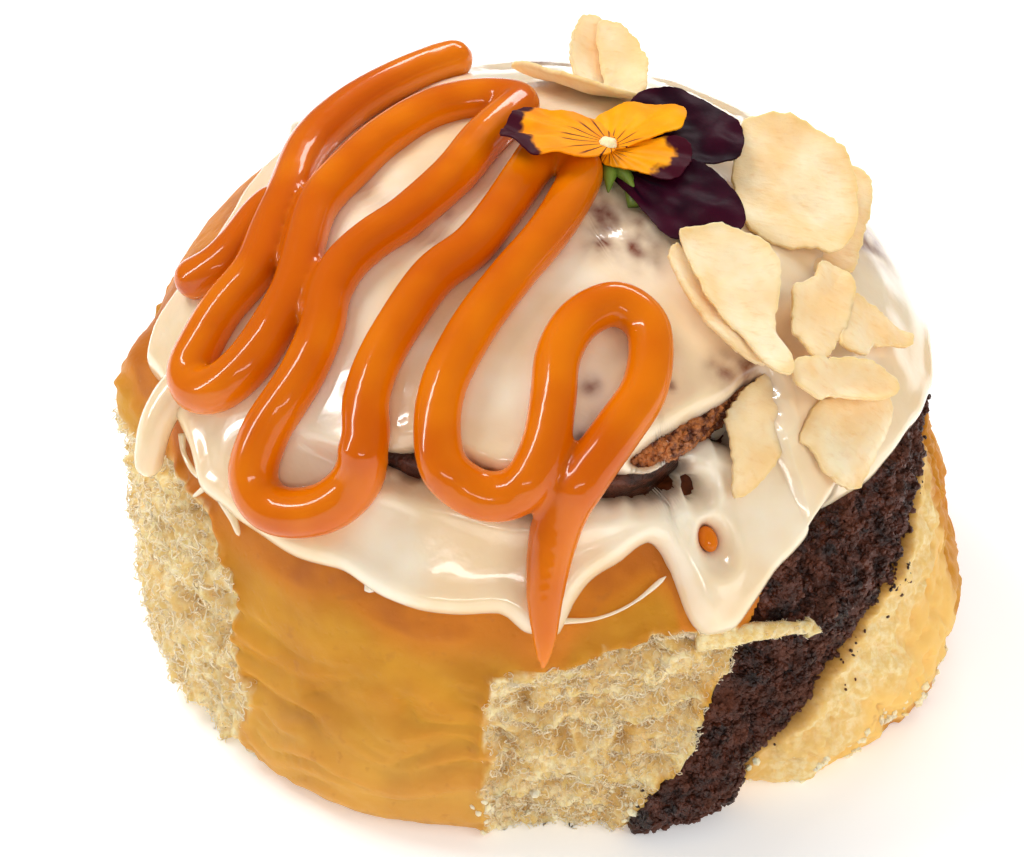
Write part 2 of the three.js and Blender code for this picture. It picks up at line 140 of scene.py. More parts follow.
def ease(rows, at, column=1, closed=False):
    """A curve through rows sorted by their first value that never overshoots them."""
    rows = np.array(rows, float)
    x = rows[:, 0]
    y = rows[:, column]
    at = np.asarray(at, float)
    if closed:
        x = np.concatenate([x - 360, x, x + 360])
        y = np.tile(y, 3)
        at = (at + 180) % 360 - 180
    step = np.diff(x)
    slope = np.diff(y) / step
    tangent = np.zeros_like(y)
    same = slope[1:] * slope[:-1] > 0
    before = np.where(same, slope[:-1], 1)
    after = np.where(same, slope[1:], 1)
    tangent[1:-1] = np.where(same, 2 * before * after / (before + after), 0)
    at = np.clip(at, x[0], x[-1])
    i = np.clip(np.searchsorted(x, at, side="right") - 1, 0, len(step) - 1)
    t = (at - x[i]) / step[i]
    rise = y[i + 1] - y[i]
    lead = (2 * t**3 - 3 * t**2 + 1) * y[i] + (3 * t**2 - 2 * t**3) * (y[i] + rise)
    return lead + step[i] * ((t**3 - 2 * t**2 + t) * tangent[i] + (t**3 - t**2) * tangent[i + 1])


RANDOM = np.random.default_rng(11)
GRADIENTS = RANDOM.normal(size=(256, 3))
GRADIENTS /= np.linalg.norm(GRADIENTS, axis=1)[:, None]
SHUFFLE = RANDOM.permutation(256)


def noise(p):
    """Gradient noise, about -1 to 1, that changes over a distance of 1."""
    cell = np.floor(p).astype(int)
    f = p - cell
    u = f * f * f * (f * (f * 6 - 15) + 10)
    total = np.zeros(p.shape[:-1])
    for corner in np.ndindex(2, 2, 2):
        c = cell + corner
        pick = SHUFFLE[(SHUFFLE[(SHUFFLE[c[..., 0] & 255] + c[..., 1]) & 255] + c[..., 2]) & 255]
        weight = np.prod(np.where(corner, u, 1 - u), axis=-1)
        total += weight * ((f - corner) * GRADIENTS[pick]).sum(-1)
    return total * 1.5


def fbm(p, octaves=4):
    """Noise with finer and weaker noise added to it."""
    total = 0
    for k in range(octaves):
        total = total + noise(p * 2**k + 17.3 * k) / 2**k
    return total / 1.6


def ridges(p, octaves=3):
    """Sharp-crested noise from 0 to 1."""
    total = 0
    for k in range(octaves):
        total = total + (1 - np.abs(noise(p * 2**k + 31.7 * k))) ** 2 / 2**k
    return total / 1.9


def rounded(points, closed=True, steps=8):
    """A smooth line through points: Catmull-Rom, `steps` samples for each."""
    p = np.array(points, float)
    if closed:
        p = np.concatenate([p[-1:], p, p[:2]])
    else:
        p = np.concatenate([2 * p[:1] - p[1:2], p, 2 * p[-1:] - p[-2:-1]])
    t = np.linspace(0, 1, steps, endpoint=False)[:, None]
    out = []
    for a, b, c, d in zip(p[:-3], p[1:-2], p[2:-1], p[3:]):
        out.append(0.5 * (2 * b + (c - a) * t + (2 * a - 5 * b + 4 * c - d) * t**2
                          + (3 * b - a - 3 * c + d) * t**3))
    if not closed:
        out.append(p[-2:-1])
    return np.concatenate(out)


def within(outline, turn, down):
    """How far inside a closed outline on the unrolled wall, in mm: below 0 outside it."""
    line = np.asarray(outline, float) * MM_PER_DEGREE
    x = turn * MM_PER_DEGREE
    y = down * MM_PER_DEGREE
    nearest = np.full(x.shape, 1e9)
    inside = np.zeros(x.shape, bool)
    for (ax, ay), (bx, by) in zip(line, np.roll(line, -1, axis=0)):
        ex = bx - ax
        ey = by - ay
        along = np.clip(((x - ax) * ex + (y - ay) * ey) / max(ex * ex + ey * ey, 1e-9), 0, 1)
        nearest = np.minimum(nearest, (x - ax - along * ex) ** 2 + (y - ay - along * ey) ** 2)
        if ay != by:
            crosses = (ay > y) != (by > y)
            inside ^= crosses & (x < ax + (y - ay) * ex / ey)
    return np.where(inside, 1, -1) * np.sqrt(nearest)


# %% [markdown]
# ## The surfaces
# The bread, its front ledge and the icing's outer face are the CAD's own formulas, so that the caramel,
# the flakes and the flower can be laid on the same surfaces here as there.


# %% Surfaces
def direction(turn, down):
    """The unit arrow that points turn degrees around and down degrees from straight up."""
    turn = np.radians(turn)
    down = np.radians(down)
    return np.stack([np.sin(down) * np.cos(turn), np.sin(down) * np.sin(turn),
                     np.cos(down) + 0 * turn], axis=-1)


def ledge(turn, down):
    """How much of the front ledge below the seam is here, from 0 to 1."""
    t = np.asarray(turn) % 360
    beside = 1 - smooth((np.abs(t - 275) - 31) / 25)
    upper = ease(FILLING_COURSE, np.where(t > 306, t - 360, t))
    below = down - upper
    return beside * smooth(below / 4) * (1 - smooth((below - 9) / 14))


def bread_radius(turn, down):
    """The bread's reach from the heart: wall, dome and base rounded into one."""
    d = direction(turn, down)
    across = np.hypot(d[..., 0], d[..., 1])
    wall = across / (ROLL_RADIUS + ease(WALL_BULGE, turn, closed=True))
    lean = DOME_RADIUS - DOME_LEAN * d[..., 0] / np.maximum(across, 1e-9)
    dome = np.hypot(across / lean, np.maximum(d[..., 2], 0) / (ROLL_HEIGHT - HEART_HEIGHT))
    base = np.maximum(-d[..., 2], 0) / (HEART_HEIGHT + BASE_SINK)
    rounded_off = (wall**EDGE_SHARPNESS + dome**EDGE_SHARPNESS + base**EDGE_SHARPNESS)
    return rounded_off ** (-1 / EDGE_SHARPNESS) - LEDGE_DROP * ledge(turn, down)


def icing_radius(turn, down):
    bread = bread_radius(turn, down)
    rim = np.clip((ease(ICING_EDGE, turn, closed=True) - down) * np.radians(bread) / ICING_RIM, 0, 1)
    return bread + ICING_BED + ICING_THICKNESS * np.sqrt(rim * (2 - rim))


def place(radius, turn, down, out=0):
    """Points on a surface, in mm, and never below the floor."""
    turn, down = np.broadcast_arrays(np.asarray(turn, float), np.asarray(down, float))
    d = direction(turn, down)
    r = radius(turn, down) + out if callable(radius) else radius + out
    floor = HEART_HEIGHT / np.maximum(-d[..., 2], 1e-9)
    r = np.where(d[..., 2] < 0, np.minimum(r, floor), r)
    return d * r[..., None] + HEART


def belly(turn, down):
    """How far the coil sags outwards low down, most of all on the right flap, in mm."""
    low = smooth((down - 92) / 10)
    panel = 1.6 * low * smooth((turn + 140) / 12) * smooth((-58 - turn) / 10)
    flap = 2.7 * low * smooth((turn + 62) / 10) * smooth((8 - turn) / 14)
    shoulder = 1.6 * smooth((down - 76) / 12) * smooth((turn + 50) / 20) * smooth((16 - turn) / 20)
    return panel + flap + shoulder


def spaced(stretches):
    """Numbers over stretches given as (end, step), from the first number."""
    here = stretches[0]
    out = []
    for end, step in stretches[1:]:
        count = max(1, round((end - here) / step))
        out.extend(np.linspace(here, end, count, endpoint=False))
        here = end
    return np.array(out)


def front(turn):
    """The same turn, between -270 and 90."""
    return (turn + 270) % 360 - 270


# %% [markdown]
# ## Meshes
# A star grid is a ball's net with its poles closed, and stands for the bun and the icing. A leaf is a
# closed plate between two faces inside an outline, and stands for flakes and petals.


# %% Meshes
def mesh_piece(name, points, faces, attributes=None, uv=None):
    """A smooth mesh object from points in mm, with named numbers on its points."""
    mesh = bpy.data.meshes.new(name)
    mesh.from_pydata((np.asarray(points) / 1000).tolist(), [], faces)
    for key, values in (attributes or {}).items():
        layer = mesh.attributes.new(key, "FLOAT", "POINT")
        layer.data.foreach_set("value", np.asarray(values, np.float32).ravel())
    if uv is not None:
        layer = mesh.uv_layers.new(name="plate")
        corners = np.zeros(len(mesh.loops), np.int32)
        mesh.loops.foreach_get("vertex_index", corners)
        layer.data.foreach_set("uv", np.asarray(uv, np.float32)[corners].ravel())
    mesh.polygons.foreach_set("use_smooth", np.ones(len(mesh.polygons), bool))
    mesh.update()
    piece = bpy.data.objects.new(name, mesh)
    bpy.context.scene.collection.objects.link(piece)
    return piece


def star_grid(name, points, poles, attributes):
    """A ball's net: rows of points from pole to pole, each row all the way round."""
    rows, columns = points.shape[:2]
    flat = np.concatenate([points.reshape(-1, 3), np.array(poles).reshape(2, 3)])
    faces = []
    for r in range(rows - 1):
        for c in range(columns):
            n = (c + 1) % columns
            faces.append((r * columns + c, (r + 1) * columns + c, (r + 1) * columns + n, r * columns + n))
    top = rows * columns
    last = (rows - 1) * columns
    for c in range(columns):
        n = (c + 1) % columns
        faces.append((top, c, n))
        faces.append((top + 1, last + n, last + c))
    padded = {}
    for key, values in attributes.items():
        values = np.broadcast_to(values, (rows, columns))
        padded[key] = np.concatenate([values.ravel(), [values[0].mean(), values[-1].mean()]])
    return mesh_piece(name, flat, faces, padded)


def leaf(name, outline, frame_of, height, thick, rings=16, jag=0.0, seed=0, taper=0.6):
    """A closed plate: an outline in mm in its own plane, height(x, y) for its middle face."""
    loop = rounded(outline, steps=max(5, 110 // len(outline)))
    tooth = fbm(np.stack([loop[:, 0], loop[:, 1], np.full(len(loop), seed * 9.7)], -1) * 1.3, 3)
    middle = loop.mean(axis=0)
    outward = loop - middle
    loop = loop + outward / np.linalg.norm(outward, axis=1)[:, None] * (jag * tooth)[:, None]
    count = len(loop)
    reach = 1 - (1 - np.linspace(0, 1, rings + 1)[1:]) ** 1.5
    flat = middle + (loop - middle) * reach[:, None, None]
    flat = np.concatenate([flat.reshape(-1, 2), [middle]])
    share = np.concatenate([np.repeat(reach, count), [0]])
    middle_face = height(flat[:, 0], flat[:, 1])
    half = thick / 2 * (1 - taper * share**5)
    top = np.column_stack([flat, middle_face + half])
    bottom = np.column_stack([flat, middle_face - half])
    faces = []
    size = len(flat)
    for c in range(count):
        n = (c + 1) % count
        faces.append((size - 1, c, n))
        faces.append((2 * size - 1, size + n, size + c))
        for r in range(rings - 1):
            a = r * count + c
            b = r * count + n
            faces.append((a, a + count, b + count, b))
            faces.append((size + b, size + b + count, size + a + count, size + a))
        a = (rings - 1) * count + c
        b = (rings - 1) * count + n
        faces.append((a, size + a, size + b, b))
    origin, axes = frame_of
    points = origin + np.concatenate([top, bottom]) @ axes.T
    uv = np.concatenate([flat, flat]) / PLATE_SPAN + 0.5
    edge = np.concatenate([share, share])
    area = 0.5 * np.sum(loop[:, 0] * np.roll(loop[:, 1], -1) - loop[:, 1] * np.roll(loop[:, 0], -1))
    if area < 0:
        faces = [tuple(reversed(face)) for face in faces]
    return mesh_piece(name, points, faces, {"edge": edge}, uv)


def turned(axis, degrees):
    """The matrix of a turn about one axis."""
    c = math.cos(math.radians(degrees))
    s = math.sin(math.radians(degrees))
    if axis == "x":
        return np.array([[1, 0, 0], [0, c, -s], [0, s, c]])
    if axis == "y":
        return np.array([[c, 0, s], [0, 1, 0], [-s, 0, c]])
    return np.array([[c, -s, 0], [s, c, 0], [0, 0, 1]])


def tube(path, radii, sides=10):
    """A closed round strand through points in mm: its points and faces."""
    path = np.asarray(path, float)
    ahead = np.gradient(path, axis=0)
    ahead /= np.linalg.norm(ahead, axis=1)[:, None]
    side = np.cross(ahead, [0.13, 0.31, 1.0])
    side /= np.linalg.norm(side, axis=1)[:, None]
    over = np.cross(side, ahead)
    angle = np.linspace(0, 2 * math.pi, sides, endpoint=False)
    ring = side[:, None] * np.cos(angle)[None, :, None] + over[:, None] * np.sin(angle)[None, :, None]
    points = (path[:, None] + ring * np.asarray(radii)[:, None, None]).reshape(-1, 3)
    points = np.concatenate([points, path[:1], path[-1:]])
    faces = []
    last = (len(path) - 1) * sides
    for c in range(sides):
        n = (c + 1) % sides
        for r in range(len(path) - 1):
            faces.append((r * sides + c, r * sides + n, r * sides + n + sides, r * sides + c + sides))
        faces.append((len(points) - 2, n, c))
        faces.append((len(points) - 1, last + c, last + n))
    return points, faces


def joined(parts):
    """Several (points, faces) as one."""
    points = []
    faces = []
    for some_points, some_faces in parts:
        shift = sum(len(p) for p in points)
        points.append(some_points)
        faces.extend(tuple(i + shift for i in face) for face in some_faces)
    return np.concatenate(points), faces


# %% [markdown]
# ## Material sums
# A finish is a sum of noises and named numbers. A wrapped socket takes plain arithmetic signs, so that each
# finish below reads as the recipe that it is.


# %% Material sums
def tint(code):
    """A colour such as "e3a94f", as the renderer's own linear numbers."""
    parts = [int(code[i:i + 2], 16) / 255 for i in (0, 2, 4)]
    linear = [p / 12.92 if p <= 0.04045 else ((p + 0.055) / 1.055) ** 2.4 for p in parts]
    return (*linear, 1)


class Sum:
    """A shader socket that takes arithmetic signs."""

    def __init__(self, finish, socket):
        self.finish = finish
        self.socket = socket


def add_sign(sign, operation):
    def forwards(self, other):
        return self.finish.maths(operation, self, other)

    def reflected(self, other):
        return self.finish.maths(operation, other, self)

    setattr(Sum, f"__{sign}__", forwards)
    setattr(Sum, f"__r{sign}__", reflected)


for sign, operation in (("add", "ADD"), ("sub", "SUBTRACT"), ("mul", "MULTIPLY")):
    add_sign(sign, operation)


class Finish:
    """One material, and the sums that make it."""

    def __init__(self, name):
        self.material = bpy.data.materials.new(name)
        self.material.use_nodes = True
        self.tree = self.material.node_tree
        self.tree.nodes.clear()
        self.out = self.tree.nodes.new("ShaderNodeOutputMaterial")

    def feed(self, socket, value):
        if isinstance(value, Sum):
            self.tree.links.new(value.socket, socket)
        else:
            socket.default_value = value

    def node(self, kind, settings=None, inputs=None):
        made = self.tree.nodes.new(kind)
        for key, value in (settings or {}).items():
            setattr(made, key, value)
        for key, value in (inputs or {}).items():
            self.feed(made.inputs[key], value)
        return made

    def maths(self, operation, *values):
        made = self.node("ShaderNodeMath", {"operation": operation}, dict(enumerate(values)))
        return Sum(self, made.outputs[0])

    def number(self, name):
        made = self.node("ShaderNodeAttribute", {"attribute_name": name, "attribute_type": "GEOMETRY"})
        return Sum(self, made.outputs["Fac"])

    def point(self):
        return Sum(self, self.node("ShaderNodeTexCoord").outputs["Object"])

    def plate(self):
        made = self.node("ShaderNodeUVMap", {"uv_map": "plate"})
        split = self.node("ShaderNodeSeparateXYZ", inputs={0: Sum(self, made.outputs[0])})
        return [(Sum(self, split.outputs[i]) - 0.5) * PLATE_SPAN for i in (0, 1)]

    def noise(self, per_mm, detail=3.0, roughness=0.55, distortion=0.0, where=None):
        inputs = {"Scale": per_mm * 1000, "Detail": detail, "Roughness": roughness,
                  "Distortion": distortion, "Vector": where or self.point()}
        return Sum(self, self.node("ShaderNodeTexNoise", inputs=inputs).outputs[0])

    def cells(self, per_mm):
        made = self.node("ShaderNodeTexVoronoi", inputs={"Scale": per_mm * 1000, "Vector": self.point()})
        return Sum(self, made.outputs["Distance"])

    def stretched(self, x, y, z):
        made = self.node("ShaderNodeVectorMath", {"operation": "MULTIPLY"}, {0: self.point(), 1: (x, y, z)})
        return Sum(self, made.outputs[0])

    def ramp(self, value, low, high):
        """0 below low, 1 above high, smooth between."""
        inputs = {"Value": value, "From Min": low, "From Max": high}
        made = self.node("ShaderNodeMapRange", {"interpolation_type": "SMOOTHSTEP", "clamp": True}, inputs)
        return Sum(self, made.outputs[0])

    def mix(self, amount, first, second):
        made = self.node("ShaderNodeMix", {"data_type": "RGBA", "clamp_factor": True})
        self.feed(made.inputs[0], amount)
        self.feed(made.inputs[6], first)
        self.feed(made.inputs[7], second)
        return Sum(self, made.outputs[2])

    def bump(self, height, strength, distance_mm):
        inputs = {"Height": height, "Strength": strength, "Distance": distance_mm / 1000}
        return Sum(self, self.node("ShaderNodeBump", inputs=inputs).outputs[0])

    def surface(self, inputs):
        made = self.node("ShaderNodeBsdfPrincipled", inputs=inputs)
        self.tree.links.new(made.outputs[0], self.out.inputs[0])
        return self.material


# %% [markdown]
# ### Bread
# Baked crust where the bun faced the oven, golden and browner towards the top; open crumb, pale and matt,
# where it was torn. The mesh carries how much of each, and the noises only break the tones up. The mesh
# also
# carries painted shade: browner pleat valleys, darker pits in the torn crumb, and near black in the seam's
# crevice and the burst bubble. A little light goes under the surface, which keeps crumb from looking like
# plaster.

# %% Bread finish
f = Finish("bread")
crumb = f.number("crumb")
brown = f.number("brown")
pale = f.number("pale")
dark = f.number("dark")
broad = f.noise(0.09, 3)
fine = f.noise(0.9, 4, 0.6)
specks = f.ramp(f.noise(0.55, 2, 0.5), 0.62, 0.74)
crust = f.mix(f.ramp(broad, 0.3, 0.7), tint("bb7911"), tint("d39626"))
crust = f.mix(pale, crust, tint("f8c870"))
# brown is the baked browning, with painted shade added in the valleys of the panel's pleats
crust = f.mix(brown * (0.75 + broad * 0.5), crust, tint("cf7a1a"))
crust = f.mix(f.ramp(brown, 0.75, 1.0) * f.ramp(broad, 0.38, 0.62) * 0.6, crust, tint("a4561a"))
crust = f.mix(specks * 0.3, crust, tint("b06c2a"))
soft = f.mix(f.ramp(fine, 0.35, 0.7), tint("eecb82"), tint("ffefc2"))
soft = f.mix(f.ramp(f.noise(0.16, 3), 0.42, 0.72) * 0.6, soft, tint("dcae62"))
# painted shade: the torn crumb is darker in its deepest pits
soft = f.mix(f.number("pit") * 0.45, soft, tint("d09a42"))
both = f.mix(crumb, crust, soft)
# dark gives the lip its toasted colour and darkens the filling's channel, and it paints shade into the
# crevice and the burst bubble
both = f.mix(dark, both, f.mix(fine, tint("220b05"), tint("7a3a18")))
pores = f.ramp(f.cells(0.75), 0.0, 0.35)
grain = f.noise(1.6, 5, 0.65, 0.6)
relief = grain * (0.25 + crumb * 0.75) + pores * (0.2 + crumb * 0.3)
bread = f.surface({
    "Base Color": both,
    "Roughness": 0.5 + crumb * 0.35,
    "Specular IOR Level": 0.2,
    "Subsurface Weight": 0.3,
    "Subsurface Radius": (1.0, 0.7, 0.4),
    "Subsurface Scale": 0.0022,
    "Normal": f.bump(relief, 0.55, 0.55),
})
print("bread finish", len(f.tree.nodes), "nodes")

# %% [markdown]
# ### Chocolate filling
# Almost black, greasy in places and dry in others: roughness and colour both follow the same noise, with
# small wet glints in the hollows.

# %% Filling finish
f = Finish("cocoa_filling")
lumps = f.noise(0.5, 5, 0.62, 0.4)
dry = f.ramp(f.noise(0.22, 3), 0.42, 0.68)
shade = f.mix(f.ramp(lumps, 0.35, 0.72), tint("1e0903"), tint("602a12"))
shade = f.mix(dry * 0.55, shade, tint("6b351a"))
cocoa = f.surface({
    "Base Color": shade,
    "Roughness": 0.34 + dry * 0.4,
    "Specular IOR Level": 0.55,
    "Coat Weight": f.ramp(lumps, 0.5, 0.62) * 0.3,
    "Coat Roughness": 0.15,
    "Normal": f.bump(lumps + f.noise(2.2, 3) * 0.5, 0.9, 0.8),
})

# %% [markdown]
# ### Icing
# Thick, wet and slightly see-through. Where it is thin, over the coil's groove and at the edge of a hole,
# the brown underneath comes through.

# %% Icing finish
f = Finish("icing")
thin = f.number("thin")
cloud = f.noise(0.06, 3)
white = f.mix(f.ramp(cloud, 0.35, 0.7), tint("f3d7ac"), tint("fff0d8"))
white = f.mix(thin * (0.5 + f.noise(0.5, 3)), white, tint("7a3f2a"))
icing_finish = f.surface({
    "Base Color": white,
    "Roughness": 0.16 + f.noise(0.3, 2) * 0.14,
    "Specular IOR Level": 0.5,
    "Subsurface Weight": 0.32,
    "Subsurface Radius": (1.0, 0.75, 0.45),
    "Subsurface Scale": 0.0025,
    "Coat Weight": 0.85,
    "Coat Roughness": 0.06,
    "Normal": f.bump(f.noise(0.3, 3), 0.2, 0.8),
})

# %% [markdown]
# ### Caramel
# Deep orange and glassy. Where the ribbon is thin, down by the icing, more light comes through and it is
# paler, so the mesh carries how high each point stands. A clear coat gives the long hard highlights.

# %% Caramel finish
f = Finish("caramel")
standing = f.number("standing")
pool = f.ramp(f.noise(0.07, 2), 0.35, 0.7)
amber = f.mix(pool, tint("cb5c00"), tint("e07603"))
amber = f.mix((1 - f.ramp(standing, 0.3, 2.6)) * 0.55, amber, tint("f08c12"))
caramel = f.surface({
    "Base Color": amber,
    "Roughness": 0.22,
    "Specular IOR Level": 0.08,
    "Subsurface Weight": 0.16,
    "Subsurface Radius": (1.0, 0.5, 0.1),
    "Subsurface Scale": 0.002,
    "Coat Weight": 0.75,
    "Coat Roughness": 0.03,
    "Coat IOR": 1.42,
    "Normal": f.bump(f.noise(0.18, 2), 0.12, 0.8),
})

# %% [markdown]
# ### Almond, petals and greens
# Almond is waxy with faint long fibres and a slightly browner cut edge. The petals read their own plate:
# x runs out from the flower's eye, so veins are stripes around the eye and a blotch sits at a set reach.

# %% Almond finish
f = Finish("almond")
edge = f.number("edge")
fibre = f.noise(0.5, 4, 0.6, where=f.stretched(1, 3.2, 1.4))
waxy = f.mix(f.ramp(f.noise(0.12, 3), 0.3, 0.72), tint("f9ce92"), tint("ffe8c4"))
waxy = f.mix(f.ramp(fibre, 0.5, 0.8) * 0.35, waxy, tint("e9aa58"))
waxy = f.mix(f.ramp(edge, 0.86, 1.0) * 0.3, waxy, tint("d9a95a"))
almond = f.surface({
    "Base Color": waxy,
    "Roughness": 0.42 + fibre * 0.15,
    "Specular IOR Level": 0.4,
    "Subsurface Weight": 0.5,
    "Subsurface Radius": (1.0, 0.8, 0.4),
    "Subsurface Scale": 0.0015,
    "Normal": f.bump(fibre + f.noise(1.2, 3) * 0.5, 0.3, 0.4),
})


# %% Petal finishes
def petal_finish(name, ground, deep, vein_colour, veins, blotch_from, blotch_side):
    """A petal's finish: veins end at one reach, and the dark blotch starts at another."""
    f = Finish(name)
    x, y = f.plate()
    reach = f.maths("SQRT", x * x + y * y)
    angle = f.maths("ARCTAN2", y, x)
    wave = f.noise(0.25, 3) - 0.5
    stripe = f.maths("ABSOLUTE", f.maths("SINE", angle * 9 + wave * 1.2))
    line = (1 - f.ramp(stripe, 0.1, 0.42)) * (1 - f.ramp(reach + wave * 3, veins - 2.5, veins))
    colour = f.mix(f.ramp(f.noise(0.16, 3), 0.3, 0.7), tint(ground), tint(deep))
    colour = f.mix(line, colour, tint(vein_colour))
    patch = f.ramp(reach + y * blotch_side + wave * 5, blotch_from, blotch_from + 0.8)
    colour = f.mix(patch, colour, tint("3f0518"))
    folds = f.maths("SINE", angle * 26 + wave * 3)
    return f.surface({
        "Base Color": colour,
        "Roughness": 0.5,
        "Specular IOR Level": 0.12,
        "Subsurface Weight": 0.08,
        "Subsurface Radius": (1.0, 0.6, 0.2),
        "Subsurface Scale": 0.0006,
        "Normal": f.bump(folds * 0.4 + f.noise(1.4, 3) * 0.5, 0.28, 0.3),
    })


yellow_lower = petal_finish("yellow_petal_lower", "ff9e00", "f68600", "4a0a18", 7.0, 10.2, 0.12)
yellow_side = petal_finish("yellow_petal_side", "ffac00", "fa9400", "5a1020", 4.5, 40.0, 0.0)
yellow_tip = petal_finish("yellow_petal_tip", "ffa600", "f48a00", "5a1020", 3.6, 6.4, -0.1)
purple = petal_finish("purple_petal", "38021a", "1c0110", "150110", 9.0, 60.0, 0.0)

f = Finish("flower_eye")
bead = f.mix(f.noise(0.8, 2), tint("fff6d8"), tint("f7e6a0"))
eye_finish = f.surface({"Base Color": bead, "Roughness": 0.4, "Subsurface Weight": 0.3,
                        "Subsurface Scale": 0.0008, "Normal": f.bump(f.noise(1.5, 2), 0.2, 0.2)})
f = Finish("green_calyx")
leafy = f.mix(f.noise(0.7, 3, where=f.stretched(1, 1, 0.3)), tint("4d6b1c"), tint("8aa23a"))
green = f.surface({"Base Color": leafy, "Roughness": 0.5, "Subsurface Weight": 0.1,
                   "Subsurface Scale": 0.0006, "Normal": f.bump(f.noise(1.2, 2), 0.3, 0.3)})


def finished(piece, material, slot, *nodes):
    """Gives a piece its finish and its place on the frame, and hides the CAD nodes it stands for; slot is
    not used.
    """
    piece.data.materials.clear()
    piece.data.materials.append(material)
    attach(piece, "root")
    if nodes:
        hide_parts(*nodes)
    return piece


# %% [markdown]
# ## The bun
# One baked piece. Its net is finest on the front, where the torn faces are. A torn face is set back a
# little behind a ragged edge and roughened by warped ridges that run around the coil, the way dough
# stretches before it parts. A sculpted ball would do as well, but a radius for each direction keeps the
# surface closed and lets every detail be added as a depth.

# %% Bun's net
turns = spaced([-192, (6, 0.42), (82, 1.1), (168, 2.2)])
downs = spaced([1.5, (44, 2.6), (64, 0.75), (114, 0.58), (126, 1.6), (178.5, 4)])
TURN, DOWN = np.meshgrid(front(turns), downs)
bread_r = bread_radius(TURN, DOWN)
P = place(bread_r, TURN, DOWN)
print("bun net", TURN.shape)

# %% Torn faces
ragged = 1.5 * fbm(P / 4.1, 4) + 0.6 * noise(P / 1.1)
left = within(rounded(TORN_LEFT), TURN, DOWN)
face = within(rounded(TORN_FRONT), TURN, DOWN)
back = within(rounded(TORN_BACK), TURN, DOWN)
torn = np.maximum(np.maximum(left, face), back)
open_crumb = smooth((torn + ragged * 1.15) / 0.9) * (1 - smooth((76 - DOWN) / 3) * (TURN < -156))

warp = np.stack([noise(P / 6), noise(P / 6 + 40), noise(P / 6 + 80)], -1) * 2.2
around = (P + warp) * np.array([0.55, 0.55, 1.15])
strands = ridges(around / 2.3, 3) - 0.55
bubbles = np.clip(noise(P / 3.4 + 90) - 0.25, 0, 1)
set_back = np.where(left > 0, 0.3, 1.3)
sheets = ridges(np.stack([TURN * 0.045, DOWN * 0.16, 0 * TURN], -1) + warp * 0.09, 3) - 0.55
torn_depth = (set_back * smooth(torn / 2.6) - (1.5 * strands + 4.2 * sheets) * smooth(torn / 1.2)
              + 3.6 * bubbles - 0.9 * fbm(P / 5.5, 3) + 0.4 * noise(P / 0.9))
fringe = 0.9 * np.exp(-((torn - 0.2) / 0.9) ** 2) * (0.5 + noise(P / 1.9))

# %% [markdown]
# The seam is three things side by side: the channel for the filling, the crevice under the icing, and the
# toasted lip. Each is a distance inside a course or outline, turned into a depth. The crevice and the open
# burst bubble are also painted near black, as painted shade.

# %% Seam
COURSE_END = FILLING_COURSE[-1][0]
course = (TURN % 360 + 80) % 360 - 80
upper = ease(FILLING_COURSE, np.minimum(course, COURSE_END), 1)
lower = ease(FILLING_COURSE, np.minimum(course, COURSE_END), 2)
in_course = np.where((course > -78) & (course < 30), 1.0, 0.0)
channel = np.minimum(DOWN - upper, lower - DOWN) * MM_PER_DEGREE * in_course - 5 * (1 - in_course)
channel = smooth((channel + 0.3) / 1.2)
crevice = np.maximum(within(rounded(SEAM_CREVICE), TURN, DOWN), within(rounded(SEAM_POCKET), TURN, DOWN))
crevice = crevice + 0.45
lip = smooth((within(rounded(SEAM_LIP), TURN, DOWN) + 0.7) / 0.9)
OPEN_BUBBLE = BURST_BUBBLES[1]
burst = np.hypot((TURN - OPEN_BUBBLE[0]) * MM_PER_DEGREE, (DOWN - OPEN_BUBBLE[1]) * MM_PER_DEGREE)
# painted shade: the open burst bubble is painted near black, as well as sunk a little
shaded_hole = smooth((2.2 - burst) / 0.8)

# %% [markdown]
# The panel between the torn faces keeps its crust, which sags into soft pleats, with painted shade browning
# their valleys. The flap on the right is pitted and scuffed beside the filling, and golden along its far
# rim.

# %% Crust and flap
fray = open_crumb * smooth((DOWN - 66) / 4) * smooth((118 - DOWN) / 4)
# painted shade: how much darker the torn crumb is painted where its face lies deepest
pit = smooth((torn_depth - 0.5) / 2.2) * open_crumb
crusty = 1 - open_crumb
sag = np.exp(-((DOWN - 97) / 12) ** 2)
folded_at = np.stack([TURN * 0.03, DOWN * 0.2 + noise(P / 12) * 1.3, P[..., 2] * 0.01], -1)
folds = ridges(folded_at, 2) ** 2 - 0.4
blister = fbm(P / 7.5, 3)
crease_at = DOWN + 5.5 * noise(P / 19) + 1.4 * noise(P / 6)
pleats = np.sin(crease_at * 0.95) * np.clip(noise(P / 9 + 30) * 1.6 + 0.35, 0, 1)
panel_out = -2.6 * folds * sag + 0.5 * blister + 0.06 * noise(P / 1.2)
panel_out = panel_out + 0.62 * pleats * sag * (TURN < -84)
flap = smooth((TURN + 64) / 10) * smooth((62 - TURN) / 30) * smooth((DOWN - lower + 1) / 3)
flap_pits = np.clip(noise(P / 1.5) - 0.15, 0, 1) * 1.6 + np.clip(noise(P / 3.1 + 9) - 0.12, 0, 1) * 2.2
panel_out = panel_out - flap * flap_pits

scuff_reach = 13 + 7 * noise(P / 7) - (DOWN - lower) * MM_PER_DEGREE
scuffed = flap * smooth(scuff_reach / 5) * smooth((TURN + 66) / 6)
panel_out = panel_out - scuffed * (1.1 * strands + 0.9 * np.clip(noise(P / 1.9 + 3) - 0.2, 0, 1))

